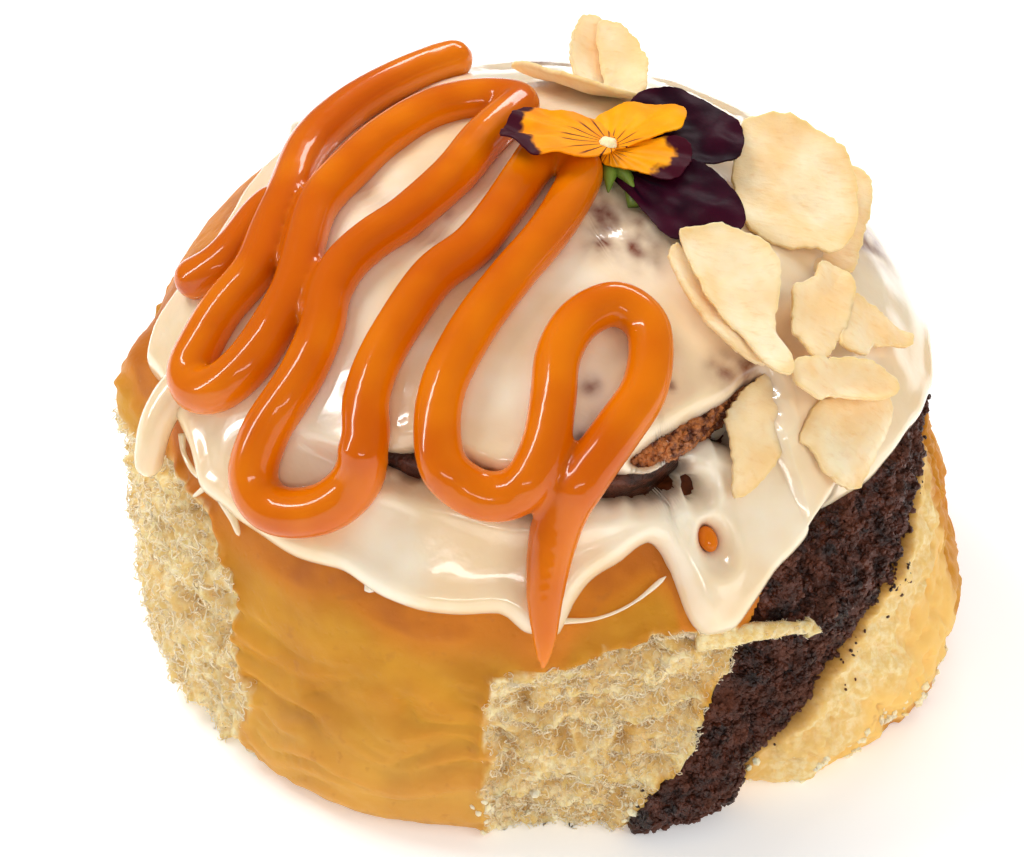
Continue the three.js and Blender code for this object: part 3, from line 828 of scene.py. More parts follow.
# %% Bun
out = crusty * panel_out - open_crumb * torn_depth + fringe
out = out + belly(TURN, DOWN)
curl = np.exp(-((TURN + 167) / 6.5) ** 2) * smooth((DOWN - 62) / 5)
curl = curl * smooth((79 + noise(P / 3) * 3 - DOWN) / 3)
out = out + 3.0 * curl
out = out - 2.0 * channel
out = out - 3.4 * smooth((crevice + 0.2) / 1.0) - 1.2 * shaded_hole
lip_relief = 0.3 + 1.1 * ridges(P / 1.1, 2) + 0.9 * noise(P / 0.8) + 0.6 * fbm(P / 2.5, 2)
out = out + lip * smooth((TURN + 79) / 9) * lip_relief
# the lowest edge of the wall crumbles into the floor instead of turning under in one curve
foot = smooth((DOWN - 104) / 6) * smooth((126 - DOWN) / 8)
out = out + foot * open_crumb * 1.2 * noise(P / 2.2)

brown_edge = np.maximum(ease(ICING_EDGE, TURN, closed=True), 64) + 8.5 + 2 * noise(P / 9)
browned = smooth((brown_edge - DOWN) / 6.0)
edge_gold = np.maximum((TURN + 23 + 3 * noise(P / 5)) / 5, (DOWN - 107 + 0.3 * (TURN + 32)) / 3)
edge_gold = smooth(edge_gold) * smooth((TURN + 68) / 8) * smooth((70 - TURN) / 20)
edge_brown = edge_gold * np.clip(0.3 + 0.6 * noise(P / 6 + 7), 0, 1)
# painted shade: the crust is browner down in the valleys of the panel's pleats
crease_shade = np.clip(0.1 - folds, 0, 1) * sag * crusty * (TURN < -90) * 0.8
pale_low = smooth((DOWN - 88) / 20) * 0.55
# dark: the lip's toasted colour, darker bread along the filling's channel, and painted shade in the crevice
# and the burst bubble
toast_and_seam_shade = shaded_hole + smooth((crevice + 1.2) / 0.8) + channel * 0.9 + lip * (0.45 + 0.5 * noise(P / 0.9))
lower_front = (TURN > -100) * (TURN < -22)
shed = smooth((DOWN - 103) / 3) * smooth((113 - DOWN) / 2) * lower_front
shed = shed * np.clip(noise(P / 2.6) * 2.4 - 0.2, 0, 1) * (1 - channel)
beside_course = np.exp(-(np.maximum(DOWN - lower, 0) * MM_PER_DEGREE / 2.6) ** 2) * (DOWN > lower - 1)
fallen = beside_course * in_course * smooth((DOWN - 70) / 4) * (TURN < 8)
fallen = fallen * np.clip(noise(P / 4.2) * 2.6 - 0.1, 0.03, 1)
bun = star_grid("bun", place(bread_r, TURN, DOWN, out),
                [place(bread_radius, 0, 0.01, 0), place(bread_radius, 0, 179.9, 0)], {
    "crumb": np.clip(open_crumb + 0.75 * scuffed * (1 - edge_gold), 0, 1),
    "brown": np.clip(np.maximum(browned * 0.95, edge_brown) + crease_shade, 0, 1),
    "pale": np.clip((pale_low * 0.6 + flap * 0.75) * (1 - edge_gold), 0, 1),
    "dark": np.clip(toast_and_seam_shade, 0, 1),
    "lip": lip,
    "pit": pit,
    "shed": shed,
    "fray": fray * (TURN > -112) * (TURN < -48),
    "side_fray": fray * np.where(TURN < -112, 1, 0.35) * ((TURN < -112) | (TURN > -48)),
    "crumbs": fallen,
})
finished(bun, bread, "bread", "bun")
print("bun", len(bun.data.polygons), "faces")

# %% [markdown]
# ## Torn fibres and scattered crumbs
# A torn face bristles with short curled strands, and dark crumbs of filling have fallen beside its course.
# Both are the same small shape many times over, so they are scattered by nodes over the bun's own skin,
# thicker where the bun says so, and made into plain meshes.


# %% Node trees
class Grower:
    """A geometry node tree, built one node at a time."""

    def __init__(self, name, inputs):
        self.tree = bpy.data.node_groups.new(name, "GeometryNodeTree")
        face = self.tree.interface
        face.new_socket("Geometry", in_out="INPUT", socket_type="NodeSocketGeometry")
        for key, (kind, value) in inputs.items():
            socket = face.new_socket(key, in_out="INPUT", socket_type=kind)
            if value is not None:
                socket.default_value = value
        face.new_socket("Geometry", in_out="OUTPUT", socket_type="NodeSocketGeometry")
        self.given = self.tree.nodes.new("NodeGroupInput")
        self.result = self.tree.nodes.new("NodeGroupOutput")

    def node(self, kind, settings=None, inputs=None, output=0):
        made = self.tree.nodes.new(kind)
        for key, value in (settings or {}).items():
            setattr(made, key, value)
        named = {s.identifier: s for s in made.inputs}
        for key, value in (inputs or {}).items():
            socket = named.get(key) or made.inputs[key]
            if isinstance(value, bpy.types.NodeSocket):
                self.tree.links.new(value, socket)
            else:
                socket.default_value = value
        return made.outputs[output]

    def end(self, socket):
        self.tree.links.new(socket, self.result.inputs[0])
        return self.tree


def rest_on_floor(mesh):
    """Nothing hangs below the table."""
    places = np.zeros(len(mesh.vertices) * 3, np.float32)
    mesh.vertices.foreach_get("co", places)
    places[2::3] = np.maximum(places[2::3], 0)
    mesh.vertices.foreach_set("co", places)
    mesh.update()


def grown(name, source, tree, values):
    """What a node tree makes of a mesh, as a plain mesh object."""
    piece = bpy.data.objects.new(name, source)
    bpy.context.scene.collection.objects.link(piece)
    modifier = piece.modifiers.new("grow", "NODES")
    modifier.node_group = tree
    for item in tree.interface.items_tree:
        if item.in_out == "INPUT" and item.name in values:
            modifier[item.identifier] = values[item.name]
    graph = bpy.context.evaluated_depsgraph_get()
    mesh = bpy.data.meshes.new_from_object(piece.evaluated_get(graph))
    piece.modifiers.clear()
    piece.data = mesh
    mesh.name = name
    rest_on_floor(mesh)
    return piece


def scatter_tree(name, shape_of):
    """A node tree that strews turned copies of a small shape, sized at random."""
    g = Grower(name, {
        "Density": ("NodeSocketFloat", 10.0),
        "Where": ("NodeSocketString", ""),
        "Smallest": ("NodeSocketFloat", 0.5),
        "Largest": ("NodeSocketFloat", 1.0),
        "Seed": ("NodeSocketInt", 1),
        "Thin": ("NodeSocketVector", (0.5, 0.5, 0.4)),
        "Finish": ("NodeSocketMaterial", None),
    })
    given = g.given.outputs
    where = g.node("GeometryNodeInputNamedAttribute", {"data_type": "FLOAT"}, {"Name": given["Where"]})
    spread = g.node("GeometryNodeDistributePointsOnFaces", {"distribute_method": "RANDOM"}, {
        "Mesh": given["Geometry"],
        "Density": g.node("ShaderNodeMath", {"operation": "MULTIPLY"},
                          {0: where, 1: given["Density"]}),
        "Seed": given["Seed"],
    })
    spread_node = spread.node
    lean = g.node("FunctionNodeRandomValue", {"data_type": "FLOAT_VECTOR"}, {
        "Min": (-1.2, -1.2, 0.0), "Max": (1.2, 1.2, 6.28), "Seed": given["Seed"]})
    turn = g.node("FunctionNodeRotateRotation", {"rotation_space": "LOCAL"}, {
        "Rotation": spread_node.outputs["Rotation"],
        "Rotate By": g.node("FunctionNodeEulerToRotation", inputs={"Euler": lean}),
    })
    size = g.node("FunctionNodeRandomValue", {"data_type": "FLOAT"}, {
        "Min_001": given["Smallest"], "Max_001": given["Largest"], "Seed": given["Seed"]}, 1)
    shape = g.node("FunctionNodeRandomValue", {"data_type": "FLOAT_VECTOR"}, {
        "Min": given["Thin"], "Max": (1.2, 1.2, 1.2), "Seed": 8})
    size = g.node("ShaderNodeVectorMath", {"operation": "SCALE"}, {0: shape, "Scale": size})
    laid = g.node("GeometryNodeInstanceOnPoints", inputs={
        "Points": spread, "Instance": shape_of(g), "Rotation": turn, "Scale": size})
    real = g.node("GeometryNodeRealizeInstances", inputs={"Geometry": laid})
    return g.end(g.node("GeometryNodeSetMaterial", inputs={"Geometry": real, "Material": given["Finish"]}))


def scattered(name, source, shape_of, seed, density, where, smallest, largest, material, slot):
    """A small shape strewn over a mesh, more of it where the named number is larger."""
    piece = grown(name, source, scatter_tree(name, shape_of), {
        "Density": density, "Where": where, "Smallest": smallest, "Largest": largest, "Seed": seed,
        "Finish": material})
    finished(piece, material, slot)
    print(name, len(piece.data.polygons), "faces")
    return piece


def strand_shape(g):
    """One curled fibre, three-sided, under a millimetre across its curl."""
    line = g.node("GeometryNodeCurveSpiral", inputs={
        "Resolution": 7, "Rotations": 0.85, "Start Radius": 0.00045, "End Radius": 0.0002,
        "Height": 0.0005, "Reverse": False})
    ring = g.node("GeometryNodeCurvePrimitiveCircle", inputs={"Resolution": 3, "Radius": 0.00006})
    made = g.node("GeometryNodeCurveToMesh", inputs={
        "Curve": line, "Profile Curve": ring, "Fill Caps": True})
    return g.node("GeometryNodeSetShadeSmooth", inputs={"Geometry": made, "Shade Smooth": True})


def crumb_shape(g):
    """One crumb, a faceted ball a millimetre across."""
    return g.node("GeometryNodeMeshIcoSphere", inputs={"Radius": 0.0005, "Subdivisions": 1})


# %% Fibres and crumbs
f = Finish("torn_crumb")
tone = f.mix(f.noise(0.3, 3), tint("ffe2a4"), tint("fff3d0"))
fibre_finish = f.surface({"Base Color": tone, "Roughness": 0.8, "Subsurface Weight": 0.5,
                          "Subsurface Radius": (1.0, 0.8, 0.5), "Subsurface Scale": 0.002,
                          "Normal": f.bump(f.noise(2.0, 2), 0.3, 0.2)})
scattered("torn_fibres", bun.data, strand_shape, 3, 2700000.0, "fray", 0.35, 1.8, fibre_finish,
          "bread")
scattered("side_fibres", bun.data, strand_shape, 4, 1300000.0, "side_fray", 0.4, 2.0,
          fibre_finish, "bread")
scattered("filling_crumbs", bun.data, crumb_shape, 5, 1500000.0, "crumbs", 0.12, 0.75, cocoa,
          "cocoa_filling")
scattered("bread_crumbs", bun.data, crumb_shape, 6, 1600000.0, "shed", 0.3, 1.5, fibre_finish,
          "bread")

f = Finish("toasted_crumb")
tone = f.mix(f.ramp(f.noise(0.8, 3), 0.35, 0.65), tint("5a260f"), tint("c0743a"))
toasted = f.surface({"Base Color": tone, "Roughness": 0.45, "Coat Weight": 0.3,
                     "Normal": f.bump(f.noise(2.4, 2), 0.5, 0.3)})
scattered("lip_crumbs", bun.data, crumb_shape, 9, 16000000.0, "lip", 0.35, 1.15, toasted, "bread")

# %% [markdown]
# One tongue of crumb has stretched across the filling before it parted. It is a tapering strand with the
# bun's own torn finish.

# %% Crumb tongue
line = rounded([(-70, 82, -0.8), (-65, 82.2, 0.2), (-60, 82.8, 0.7), (-56.5, 83.6, 1.0), (-53.4, 84.6, 1.4),
                (-53.2, 86, 1.6)],
               closed=False, steps=12)
at = place(bread_radius, line[:, 0], line[:, 1], line[:, 2])
width = np.interp(np.linspace(0, 1, len(at)), [0, 0.3, 0.6, 0.85, 1], [1.5, 1.1, 0.75, 0.6, 1.1])
points, faces = tube(at, width, 36)
outward = points - HEART
outward /= np.linalg.norm(outward, axis=1)[:, None]
rough = 0.6 * (ridges(points / 1.8, 3) - 0.4) + 0.3 * noise(points / 0.7)
points = points + outward * rough[:, None]
tongue = mesh_piece("crumb_tongue", points, faces, {
    "crumb": np.ones(len(points)), "brown": np.zeros(len(points)), "pale": np.zeros(len(points)),
    "dark": np.zeros(len(points)), "pit": np.zeros(len(points))})
layer = tongue.data.attributes.new("fray", "FLOAT", "POINT")
layer.data.foreach_set("value", np.ones(len(points), np.float32))
scattered("tongue_fibres", tongue.data, strand_shape, 13, 4000000.0, "fray", 0.3, 0.9,
          fibre_finish, "bread")
finished(tongue, bread, "bread")

# %% [markdown]
# ## The filling
# A band of set chocolate in the coil's seam, thickest where the outer coil pulls away at the front. It is
# one net along its course, heaped in the middle and broken into lumps, and closed behind.

# %% Filling's face
stations = spaced([-79, (8, 0.42), (120, 2.4), (306, 4.0)])
stations = np.append(stations, 306.0)
across = np.linspace(0, 1, 44)
S, A = np.meshgrid(stations, across, indexing="ij")
over = ease(FILLING_COURSE, S, 1) - 1.4
under = ease(FILLING_COURSE, S, 2) + 1.4 + 1.8 * smooth((10 - S) / 10)
wide = over + (under - over) * A
fill_r = bread_radius(S, wide) + belly(S, wide) * smooth((10 - S) / 10)
Q = place(fill_r, S, wide)
heap = np.sin(np.pi * A) ** 0.4
cells = ridges(Q / 3.2, 4) - 0.5
lumps = 2.6 * cells + 1.5 * fbm(Q / 4.5 + 3, 4) + 0.55 * noise(Q / 1.1) + 0.3 * noise(Q / 0.6)
shown = smooth((20 - np.abs(S + 40) + 22) / 6)
spill = 1.6 * smooth((wide - 100) / 7) * smooth((-58 - S) / 6)
top_out = -3.4 + heap * (3.3 + shown * lumps + spill)
face_points = place(fill_r, S, wide, top_out)
print("filling's face", S.shape)

# %% Filling
back_rows = np.linspace(1, 0, 6)
SB, AB = np.meshgrid(stations, back_rows, indexing="ij")
over_b = ease(FILLING_COURSE, SB, 1)
under_b = ease(FILLING_COURSE, SB, 2)
wide_b = (over_b - 1.4) + (under_b - over_b + 2.8) * AB
back_points = place(bread_radius(SB, wide_b), SB, wide_b, -4.6)
rings = np.concatenate([face_points, back_points], axis=1)
count = rings.shape[1]
flat = rings.reshape(-1, 3)
faces = []
for s in range(len(stations) - 1):
    for c in range(count):
        n = (c + 1) % count
        faces.append((s * count + c, s * count + n, (s + 1) * count + n, (s + 1) * count + c))
ends = np.stack([rings[0].mean(axis=0), rings[-1].mean(axis=0)])
for c in range(count):
    n = (c + 1) % count
    last = (len(stations) - 1) * count
    faces.append((len(flat), n, c))
    faces.append((len(flat) + 1, last + c, last + n))
sides = np.zeros(rings.shape[:2])
sides[:, 3:41] = 1
sides = sides * (np.abs(stations + 38) < 42)[:, None]
filling = mesh_piece("filling", np.concatenate([flat, ends]), faces,
                     {"crumbly": np.concatenate([sides.ravel(), [0, 0]])})
scattered("filling_grains", filling.data, crumb_shape, 21, 2600000.0, "crumbly", 0.25, 1.25,
          cocoa, "cocoa_filling")
finished(filling, cocoa, "cocoa_filling", "filling")
print("filling", len(filling.data.polygons), "faces")

# %% [markdown]
# ## The icing
# One closed skin: its outer rows follow its own edge down the sides, so that the edge is crisp, and the
# rest returns beneath. Its thickness rises like a drop's from the edge, with a fuller bead just inside it.
# Along the open seam and at two burst bubbles it dips away under the bread, which leaves real holes.

# %% Icing's net and edge
SKIN_RADIUS = 52
ICING_UNDERSIDE = -2.2
EDGE_OVERHANG = 2.6


def edge_ripple(turn):
    """How far the edge strays up and down around the roll, in degrees."""
    angle = np.radians(turn)
    return 0.5 * noise(np.stack([np.cos(angle) * 9, np.sin(angle) * 9, 0 * turn], -1))


ice_turns = spaced([-192, (6, 0.42), (168, 1.3)])
share = 1 - spaced([0, (0.06, 0.0035), (0.5, 0.0072), (0.97, 0.02)])[::-1]
share = share[share > 0.02]
edge_now = ease(ICING_EDGE, front(ice_turns), closed=True)
ripple = edge_ripple(ice_turns)
IT, SH = np.meshgrid(front(ice_turns), share)
EDGE = np.broadcast_to(edge_now + ripple, IT.shape)
ID = (EDGE + EDGE_OVERHANG) * SH
ice_bread = bread_radius(IT, ID)
I = place(ice_bread, IT, ID)
sweep = np.arange(-340, 160, 1.0)
sweep_edge = ease(ICING_EDGE, sweep, closed=True)
edge_line = np.stack([sweep, sweep_edge + edge_ripple(sweep)], -1)
skirt = np.concatenate([edge_line, [[160, -90], [-340, -90]]])
margin = within(skirt, IT, ID)
print("icing net", IT.shape)

# %% Gaps in the icing
gap = np.maximum(within(rounded(SEAM_CREVICE), IT, ID), within(rounded(SEAM_POCKET), IT, ID))
gap = gap + 0.4 + 0.35 * noise(I / 1.7)
slot = np.maximum(gap, within(rounded(SEAM_LIP), IT, ID)) + 0.25 * noise(I / 2.5)
holes_in = np.full(IT.shape, -9.0)
for hole_turn, hole_down, half_wide, half_high in BURST_BUBBLES:
    aside = (IT - hole_turn) * MM_PER_DEGREE / half_wide
    below = (ID - hole_down) * MM_PER_DEGREE / half_high
    reach = np.hypot(aside, below)
    holes_in = np.maximum(holes_in, (1 - reach) * min(half_wide, half_high))
inside = np.minimum(np.minimum(margin, -slot), -holes_in * 1.4)

# %% [markdown]
# The coil under the icing shows as a soft groove, and the skin is thin enough in a few spots for the brown
# filling to show through.

# %% Icing's thickness
coil = rounded(INNER_COIL, closed=False, steps=24)
coil_points = direction(coil[:, 0], coil[:, 1]) * SKIN_RADIUS
here = direction(IT, ID) * SKIN_RADIUS
groove = np.full(IT.shape, 99.0)
for point in coil_points:
    groove = np.minimum(groove, np.linalg.norm(here - point, axis=-1))
groove_depth = np.exp(-(groove / 1.7) ** 2) * (0.6 + 0.6 * noise(I / 6))

thick = ICING_BED + ICING_THICKNESS + 0.45 * noise(I / 11) + 0.22 * noise(I / 4.6)
rim = np.clip(inside / ICING_RIM, 0, 1)
bead = 0.5 * np.exp(-((inside - 2.3) / 1.3) ** 2)
raised = (thick + bead) * np.sqrt(rim * (2 - rim)) - 0.95 * groove_depth * rim
deep = 1.4 + 3.8 * np.maximum(smooth(gap / 0.5), smooth(holes_in / 0.4) * (ID < 64))
skin = np.where(inside > 0, raised, np.maximum(9 * inside, -deep))
outer = place(ice_bread, IT, ID, skin)
smear = np.zeros(IT.shape)
for spot_turn, spot_down, size_mm in [
        (-65.2, 18.7, 3.4), (-61.2, 26.5, 3.0), (-52, 22, 2.4), (-72, 24, 2.2),
        (-83.5, 45.3, 1.2), (-85.6, 52.1, 0.9), (-58.3, 46.8, 2.2),
        (-53.9, 46.9, 2.0), (-69.3, 46.7, 0.7), (-0.2, 50, 4.5), (90, 40, 3.5), (-131.7, 22.7, 0.7)]:
    away = np.linalg.norm(here - direction(spot_turn, spot_down) * SKIN_RADIUS, axis=-1)
    smear = np.maximum(smear, np.exp(-(away / size_mm) ** 2) * (0.75 + 0.8 * noise(I / 1.8)))
near_gap = np.exp(-((np.maximum(-slot, 0)) / 0.7) ** 2) * 0.45 * (inside < 1.2)
thinness = np.clip(smear + groove_depth * 0.22 + near_gap, 0, 1)

# %% Icing
under_share = np.linspace(0.985, 0.03, 9)
UT, US = np.meshgrid(front(ice_turns), under_share)
UD = (np.broadcast_to(edge_now + ripple, UT.shape) + EDGE_OVERHANG) * US
under_slot = within(rounded(SEAM_CREVICE), UT, UD)
bed = place(bread_radius(UT, UD), UT, UD, ICING_UNDERSIDE - 4.6 * smooth((under_slot + 8) / 3.0))
shell = np.concatenate([outer, bed])
icing = star_grid("icing", shell,
                  [place(icing_radius, 0, 0.01, 0), place(bread_radius, 0, 0.01, ICING_UNDERSIDE)],
                  {"thin": np.concatenate([thinness, np.zeros(UT.shape)])})
finished(icing, icing_finish, "icing", "icing")
print("icing", len(icing.data.polygons), "faces")

# %% [markdown]
# ### Runs and strings of icing
# A finger of icing hangs off the left edge and ends in a drop, and stretched strings cling beside it. Each
# is a strand swept along its own line over the bread, thick or thin as the icing was.

# %% Icing runs
RUNS = [
    # points as turn, down, height above the bread; then the radii
    ([(-150.3, 58.5, 2.0), (-150.8, 62, 3.0), (-150.6, 66, 3.6), (-150, 70, 3.6), (-149.9, 73.2, 3.1)],
     [2.1, 2.2, 2.0, 1.8, 1.5]),
    ([(-148.4, 66.5, 1.2), (-146.8, 68.6, 1.0), (-143.6, 69.6, 1.0), (-141, 68.6, 1.0)],
     [0.5, 0.3, 0.35, 0.8]),
    ([(-140.6, 68.8, 1.1), (-141.6, 70.6, 1.0), (-143.4, 72.8, 0.9)], [0.8, 0.4, 0.22]),
    ([(-137.6, 70, 1.2), (-135.8, 72, 1.0), (-134.6, 74, 0.7)], [0.9, 0.5, 0.3]),
    ([(-89, 75.8, 0.8), (-84, 75.6, 1.0), (-79, 74.2, 0.9), (-74, 71.5, 0.8)], [0.4, 0.2, 0.17, 0.4]),
    ([(-114.4, 73.2, 0.5), (-114.2, 74.3, 0.7)], [0.7, 0.55]),
]
parts = []
for points, radii in RUNS:
    line = rounded(points, closed=False, steps=7)
    width = np.interp(np.linspace(0, 1, len(line)), np.linspace(0, 1, len(radii)), radii)
    from_end = np.linspace(0, 1, len(line))
    cap = np.sqrt(np.clip(1 - np.clip((from_end - 0.86) / 0.14, 0, 1) ** 2, 0.02, 1))
    parts.append(tube(place(bread_radius, line[:, 0], line[:, 1], line[:, 2]), width * cap, 14))
points, faces = joined(parts)
runs = mesh_piece("icing_runs", points, faces, {"thin": np.zeros(len(points))})
finished(runs, icing_finish, "icing")

# %% [markdown]
# ## The caramel ribbon
# Piped in one go, in long passes back and forth. A line over the icing becomes a round ribbon by nodes,
# its radius carried on the line, and then all of it is welded into one skin and smoothed, so that passes
# that touch have run together as syrup does.

# %% Caramel's course
RIBBON = [
    (110, 33), (116, 33.6), (127, 32.4), (136, 32), (155, 33), (172, 35), (-172, 37), (-161, 41),
    (-154, 45), (-152, 50.5), (-150, 55), (-148.6, 58.2), (-145.6, 59.2), (-142, 57.2), (-140.2, 53),
    (-141, 48), (-144, 43), (-151, 38.6), (-162, 34), (-171, 29), (173, 23.5), (152, 19), (134, 14.6),
    (121, 11), (120, 8.8), (140, 7.6), (-168, 10), (-144, 17), (-139, 26), (-140, 32), (-139.6, 36.6),
    (-137, 41), (-133, 45), (-131, 50), (-131, 54), (-132, 59), (-131.8, 64), (-129, 66.6),
    (-125, 66.4),
    (-120.6, 64.2), (-117.4, 60), (-117, 55), (-119, 51), (-120, 46.5), (-120, 41), (-119, 33),
    (-114, 27),
    (-111, 20), (-108, 12), (-100, 6), (-74, 6), (-67, 11), (-84, 18), (-93, 24), (-100, 30),
    (-105, 37),
    (-107, 42), (-108, 47), (-107.2, 52), (-105, 56.4), (-100.4, 58.8), (-96, 58.6), (-93, 56.2),
    (-91, 52), (-90, 47), (-89, 41.5), (-84.4, 36.8), (-76, 35), (-71, 38), (-71.6, 42), (-75, 47),
    (-80, 51), (-84.4, 55), (-88, 59.4), (-90, 64), (-91, 71), (-91, 76), (-91.2, 81),
]
TAIL = [(-170, 37), (-168, 41), (-163, 45), (-161.5, 49), (-164, 54)]


# %% A course on the icing
def on_icing(course, steps, lift):
    """A course laid on the icing, as points 0.8 mm apart, bridging narrow dips."""
    p = direction(np.array([c[0] for c in course], float), np.array([c[1] for c in course], float))
    path = rounded(p, closed=False, steps=steps)
    path /= np.linalg.norm(path, axis=1)[:, None]
    far = np.concatenate([[0], np.cumsum(np.linalg.norm(np.diff(path, axis=0), axis=1))]) * 53
    even = np.linspace(0, far[-1], round(far[-1] / 0.8))
    path = np.stack([np.interp(even, far, path[:, k]) for k in range(3)], -1)
    path /= np.linalg.norm(path, axis=1)[:, None]
    turn = front(np.degrees(np.arctan2(path[:, 1], path[:, 0])))
    down = np.degrees(np.arccos(np.clip(path[:, 2], -1, 1)))
    body = bread_radius(turn, down) + ICING_BED + ICING_THICKNESS
    body = np.where(down > 66, np.minimum(body, bread_radius(turn, down) + 3.1 - (down - 66) * 0.11), body)
    window = np.hanning(17)
    spanned = np.convolve(np.pad(body, 8, mode="edge"), window / window.sum(), mode="valid")
    body = np.maximum(spanned, body - 0.3)
    return path * (body + lift)[:, None] + HEART


# %% Caramel's node tree
def ribbon_tree():
    g = Grower("caramel_ribbon", {
        "Sides": ("NodeSocketInt", 18),
        "Finish": ("NodeSocketMaterial", None),
    })
    given = g.given.outputs
    line = g.node("GeometryNodeMeshToCurve", inputs={"Mesh": given["Geometry"]})
    ring = g.node("GeometryNodeCurvePrimitiveCircle", inputs={"Resolution": given["Sides"], "Radius": 1.0})
    width = g.node("GeometryNodeInputNamedAttribute", {"data_type": "FLOAT"}, {"Name": "radius_here"})
    made = g.node("GeometryNodeCurveToMesh", inputs={
        "Curve": line, "Profile Curve": ring, "Scale": width, "Fill Caps": True})
    real = g.node("GeometryNodeRealizeInstances", inputs={"Geometry": made})
    return g.end(g.node("GeometryNodeSetMaterial", inputs={"Geometry": real, "Material": given["Finish"]}))


# %% Caramel
RIBBON_TREE = ribbon_tree()
WELD_GRAIN = 0.42


def ribbon(name, path, radii):
    """A round ribbon along a path, welded where its passes touch."""
    mesh = bpy.data.meshes.new(name)
    mesh.from_pydata((path / 1000).tolist(), [(i, i + 1) for i in range(len(path) - 1)], [])
    layer = mesh.attributes.new("radius_here", "FLOAT", "POINT")
    layer.data.foreach_set("value", np.asarray(radii / 1000, np.float32))
    piece = grown(name, mesh, RIBBON_TREE, {"Sides": 18, "Finish": caramel})
    weld = piece.modifiers.new("weld", "REMESH")
    weld.mode = "VOXEL"
    weld.voxel_size = WELD_GRAIN / 1000
    weld.use_smooth_shade = True
    relax = piece.modifiers.new("relax", "SMOOTH")
    relax.factor = 0.6
    relax.iterations = 8
    graph = bpy.context.evaluated_depsgraph_get()
    mesh = bpy.data.meshes.new_from_object(piece.evaluated_get(graph))
    piece.modifiers.clear()
    piece.data = mesh
    places = np.zeros(len(mesh.vertices) * 3, np.float32)
    mesh.vertices.foreach_get("co", places)
    from_heart = places.reshape(-1, 3) * 1000.0 - HEART
    reach = np.linalg.norm(from_heart, axis=1)
    turn = front(np.degrees(np.arctan2(from_heart[:, 1], from_heart[:, 0])))
    down = np.degrees(np.arccos(from_heart[:, 2] / reach))
    standing = reach - bread_radius(turn, down) - ICING_BED - ICING_THICKNESS
    layer = mesh.attributes.new("standing", "FLOAT", "POINT")
    layer.data.foreach_set("value", standing.astype(np.float32))
    return piece


path = on_icing(RIBBON, 9, CARAMEL_RADIUS - CARAMEL_SINK)
length = np.concatenate([[0], np.cumsum(np.linalg.norm(np.diff(path, axis=0), axis=1))])
radii = CARAMEL_RADIUS * (1.05 + 0.07 * noise(np.stack([length / 17, 0 * length, 0 * length], -1)))
radii = radii * (1 + 0.12 * smooth((path[:, 2].max() - path[:, 2] - 8) / 16))
radii = radii * np.sqrt(np.clip(length / 2.6, 0.02, 1) * (2 - np.clip(length / 2.6, 0.02, 1)))
to_end = length[-1] - length
radii = radii * np.clip(to_end / 16, 0.04, 1) ** 0.55
drizzle = ribbon("caramel_drizzle", path, radii)
finished(drizzle, caramel, "caramel", "caramel_drizzle")
path = on_icing(TAIL, 9, CARAMEL_RADIUS - CARAMEL_SINK - 0.2)
length = np.concatenate([[0], np.cumsum(np.linalg.norm(np.diff(path, axis=0), axis=1))])
ends = np.minimum(length, length[-1] - length)
radii = 2.6 * np.sqrt(np.clip(ends / 2.4, 0.02, 1) * (2 - np.clip(ends / 2.4, 0.02, 1)))
tail = ribbon("caramel_tail", path, radii)
finished(tail, caramel, "caramel", "caramel_tail")
print("caramel", len(drizzle.data.polygons), len(tail.data.polygons), "faces")

# %% [markdown]
# Caramel has also filled one burst bubble in the icing, and stands in it as a small round drop.

# %% Amber drop
side = np.linspace(0, 360, 28, endpoint=False)
rise = np.linspace(0, 180, 14)[1:-1]
ST, SD = np.meshgrid(side, rise)
drop_shape = direction(ST, SD)
drop_turn, drop_down = BURST_BUBBLES[0][:2]
at = place(bread_radius, drop_turn, drop_down, 0.9)
east = place(bread_radius, drop_turn + 1, drop_down, 0.9) - at
east /= np.linalg.norm(east)
south = place(bread_radius, drop_turn, drop_down + 1, 0.9) - at
south /= np.linalg.norm(south)
outward = direction(drop_turn, drop_down)
drop_points = (at + drop_shape[..., :1] * east * 1.05 + drop_shape[..., 1:2] * south * 1.5
               + drop_shape[..., 2:] * outward * 1.1)
drop = star_grid("caramel_drop", drop_points, [at + outward * 1.1, at - outward * 1.1],
                 {"standing": np.ones(ST.shape)})
finished(drop, caramel, "caramel")

# %% [markdown]
# ## Almond flakes
# Shaved lengthways and broken: each flake is a thin closed plate inside its own outline, dished or waved,
# with a jagged edge. It is set in a frame of its own: where it sits on the icing, how far up, which way it
# points, and how it pitches and rolls.


# %% Seats for the flakes
FLAKE_THICKNESS = 0.95
ICING_TOP = ICING_BED + ICING_THICKNESS


def seat_frame(turn, down, lift, heading, pitch, roll):
    """The place and the axes of a flake that lies on the icing."""
    at = place(bread_radius, turn, down, ICING_TOP)
    east = place(bread_radius, turn + 1, down, ICING_TOP) - at
    south = place(bread_radius, turn, down + 1, ICING_TOP) - at
    out = np.cross(south, east)
    out /= np.linalg.norm(out)
    compass = np.array([math.cos(math.radians(heading)), math.sin(math.radians(heading)), 0])
    ahead = compass - out * (compass @ out)
    ahead /= np.linalg.norm(ahead)
    axes = np.stack([ahead, np.cross(out, ahead), out], axis=1)
    return at + out * lift, axes @ turned("y", -pitch) @ turned("x", roll)


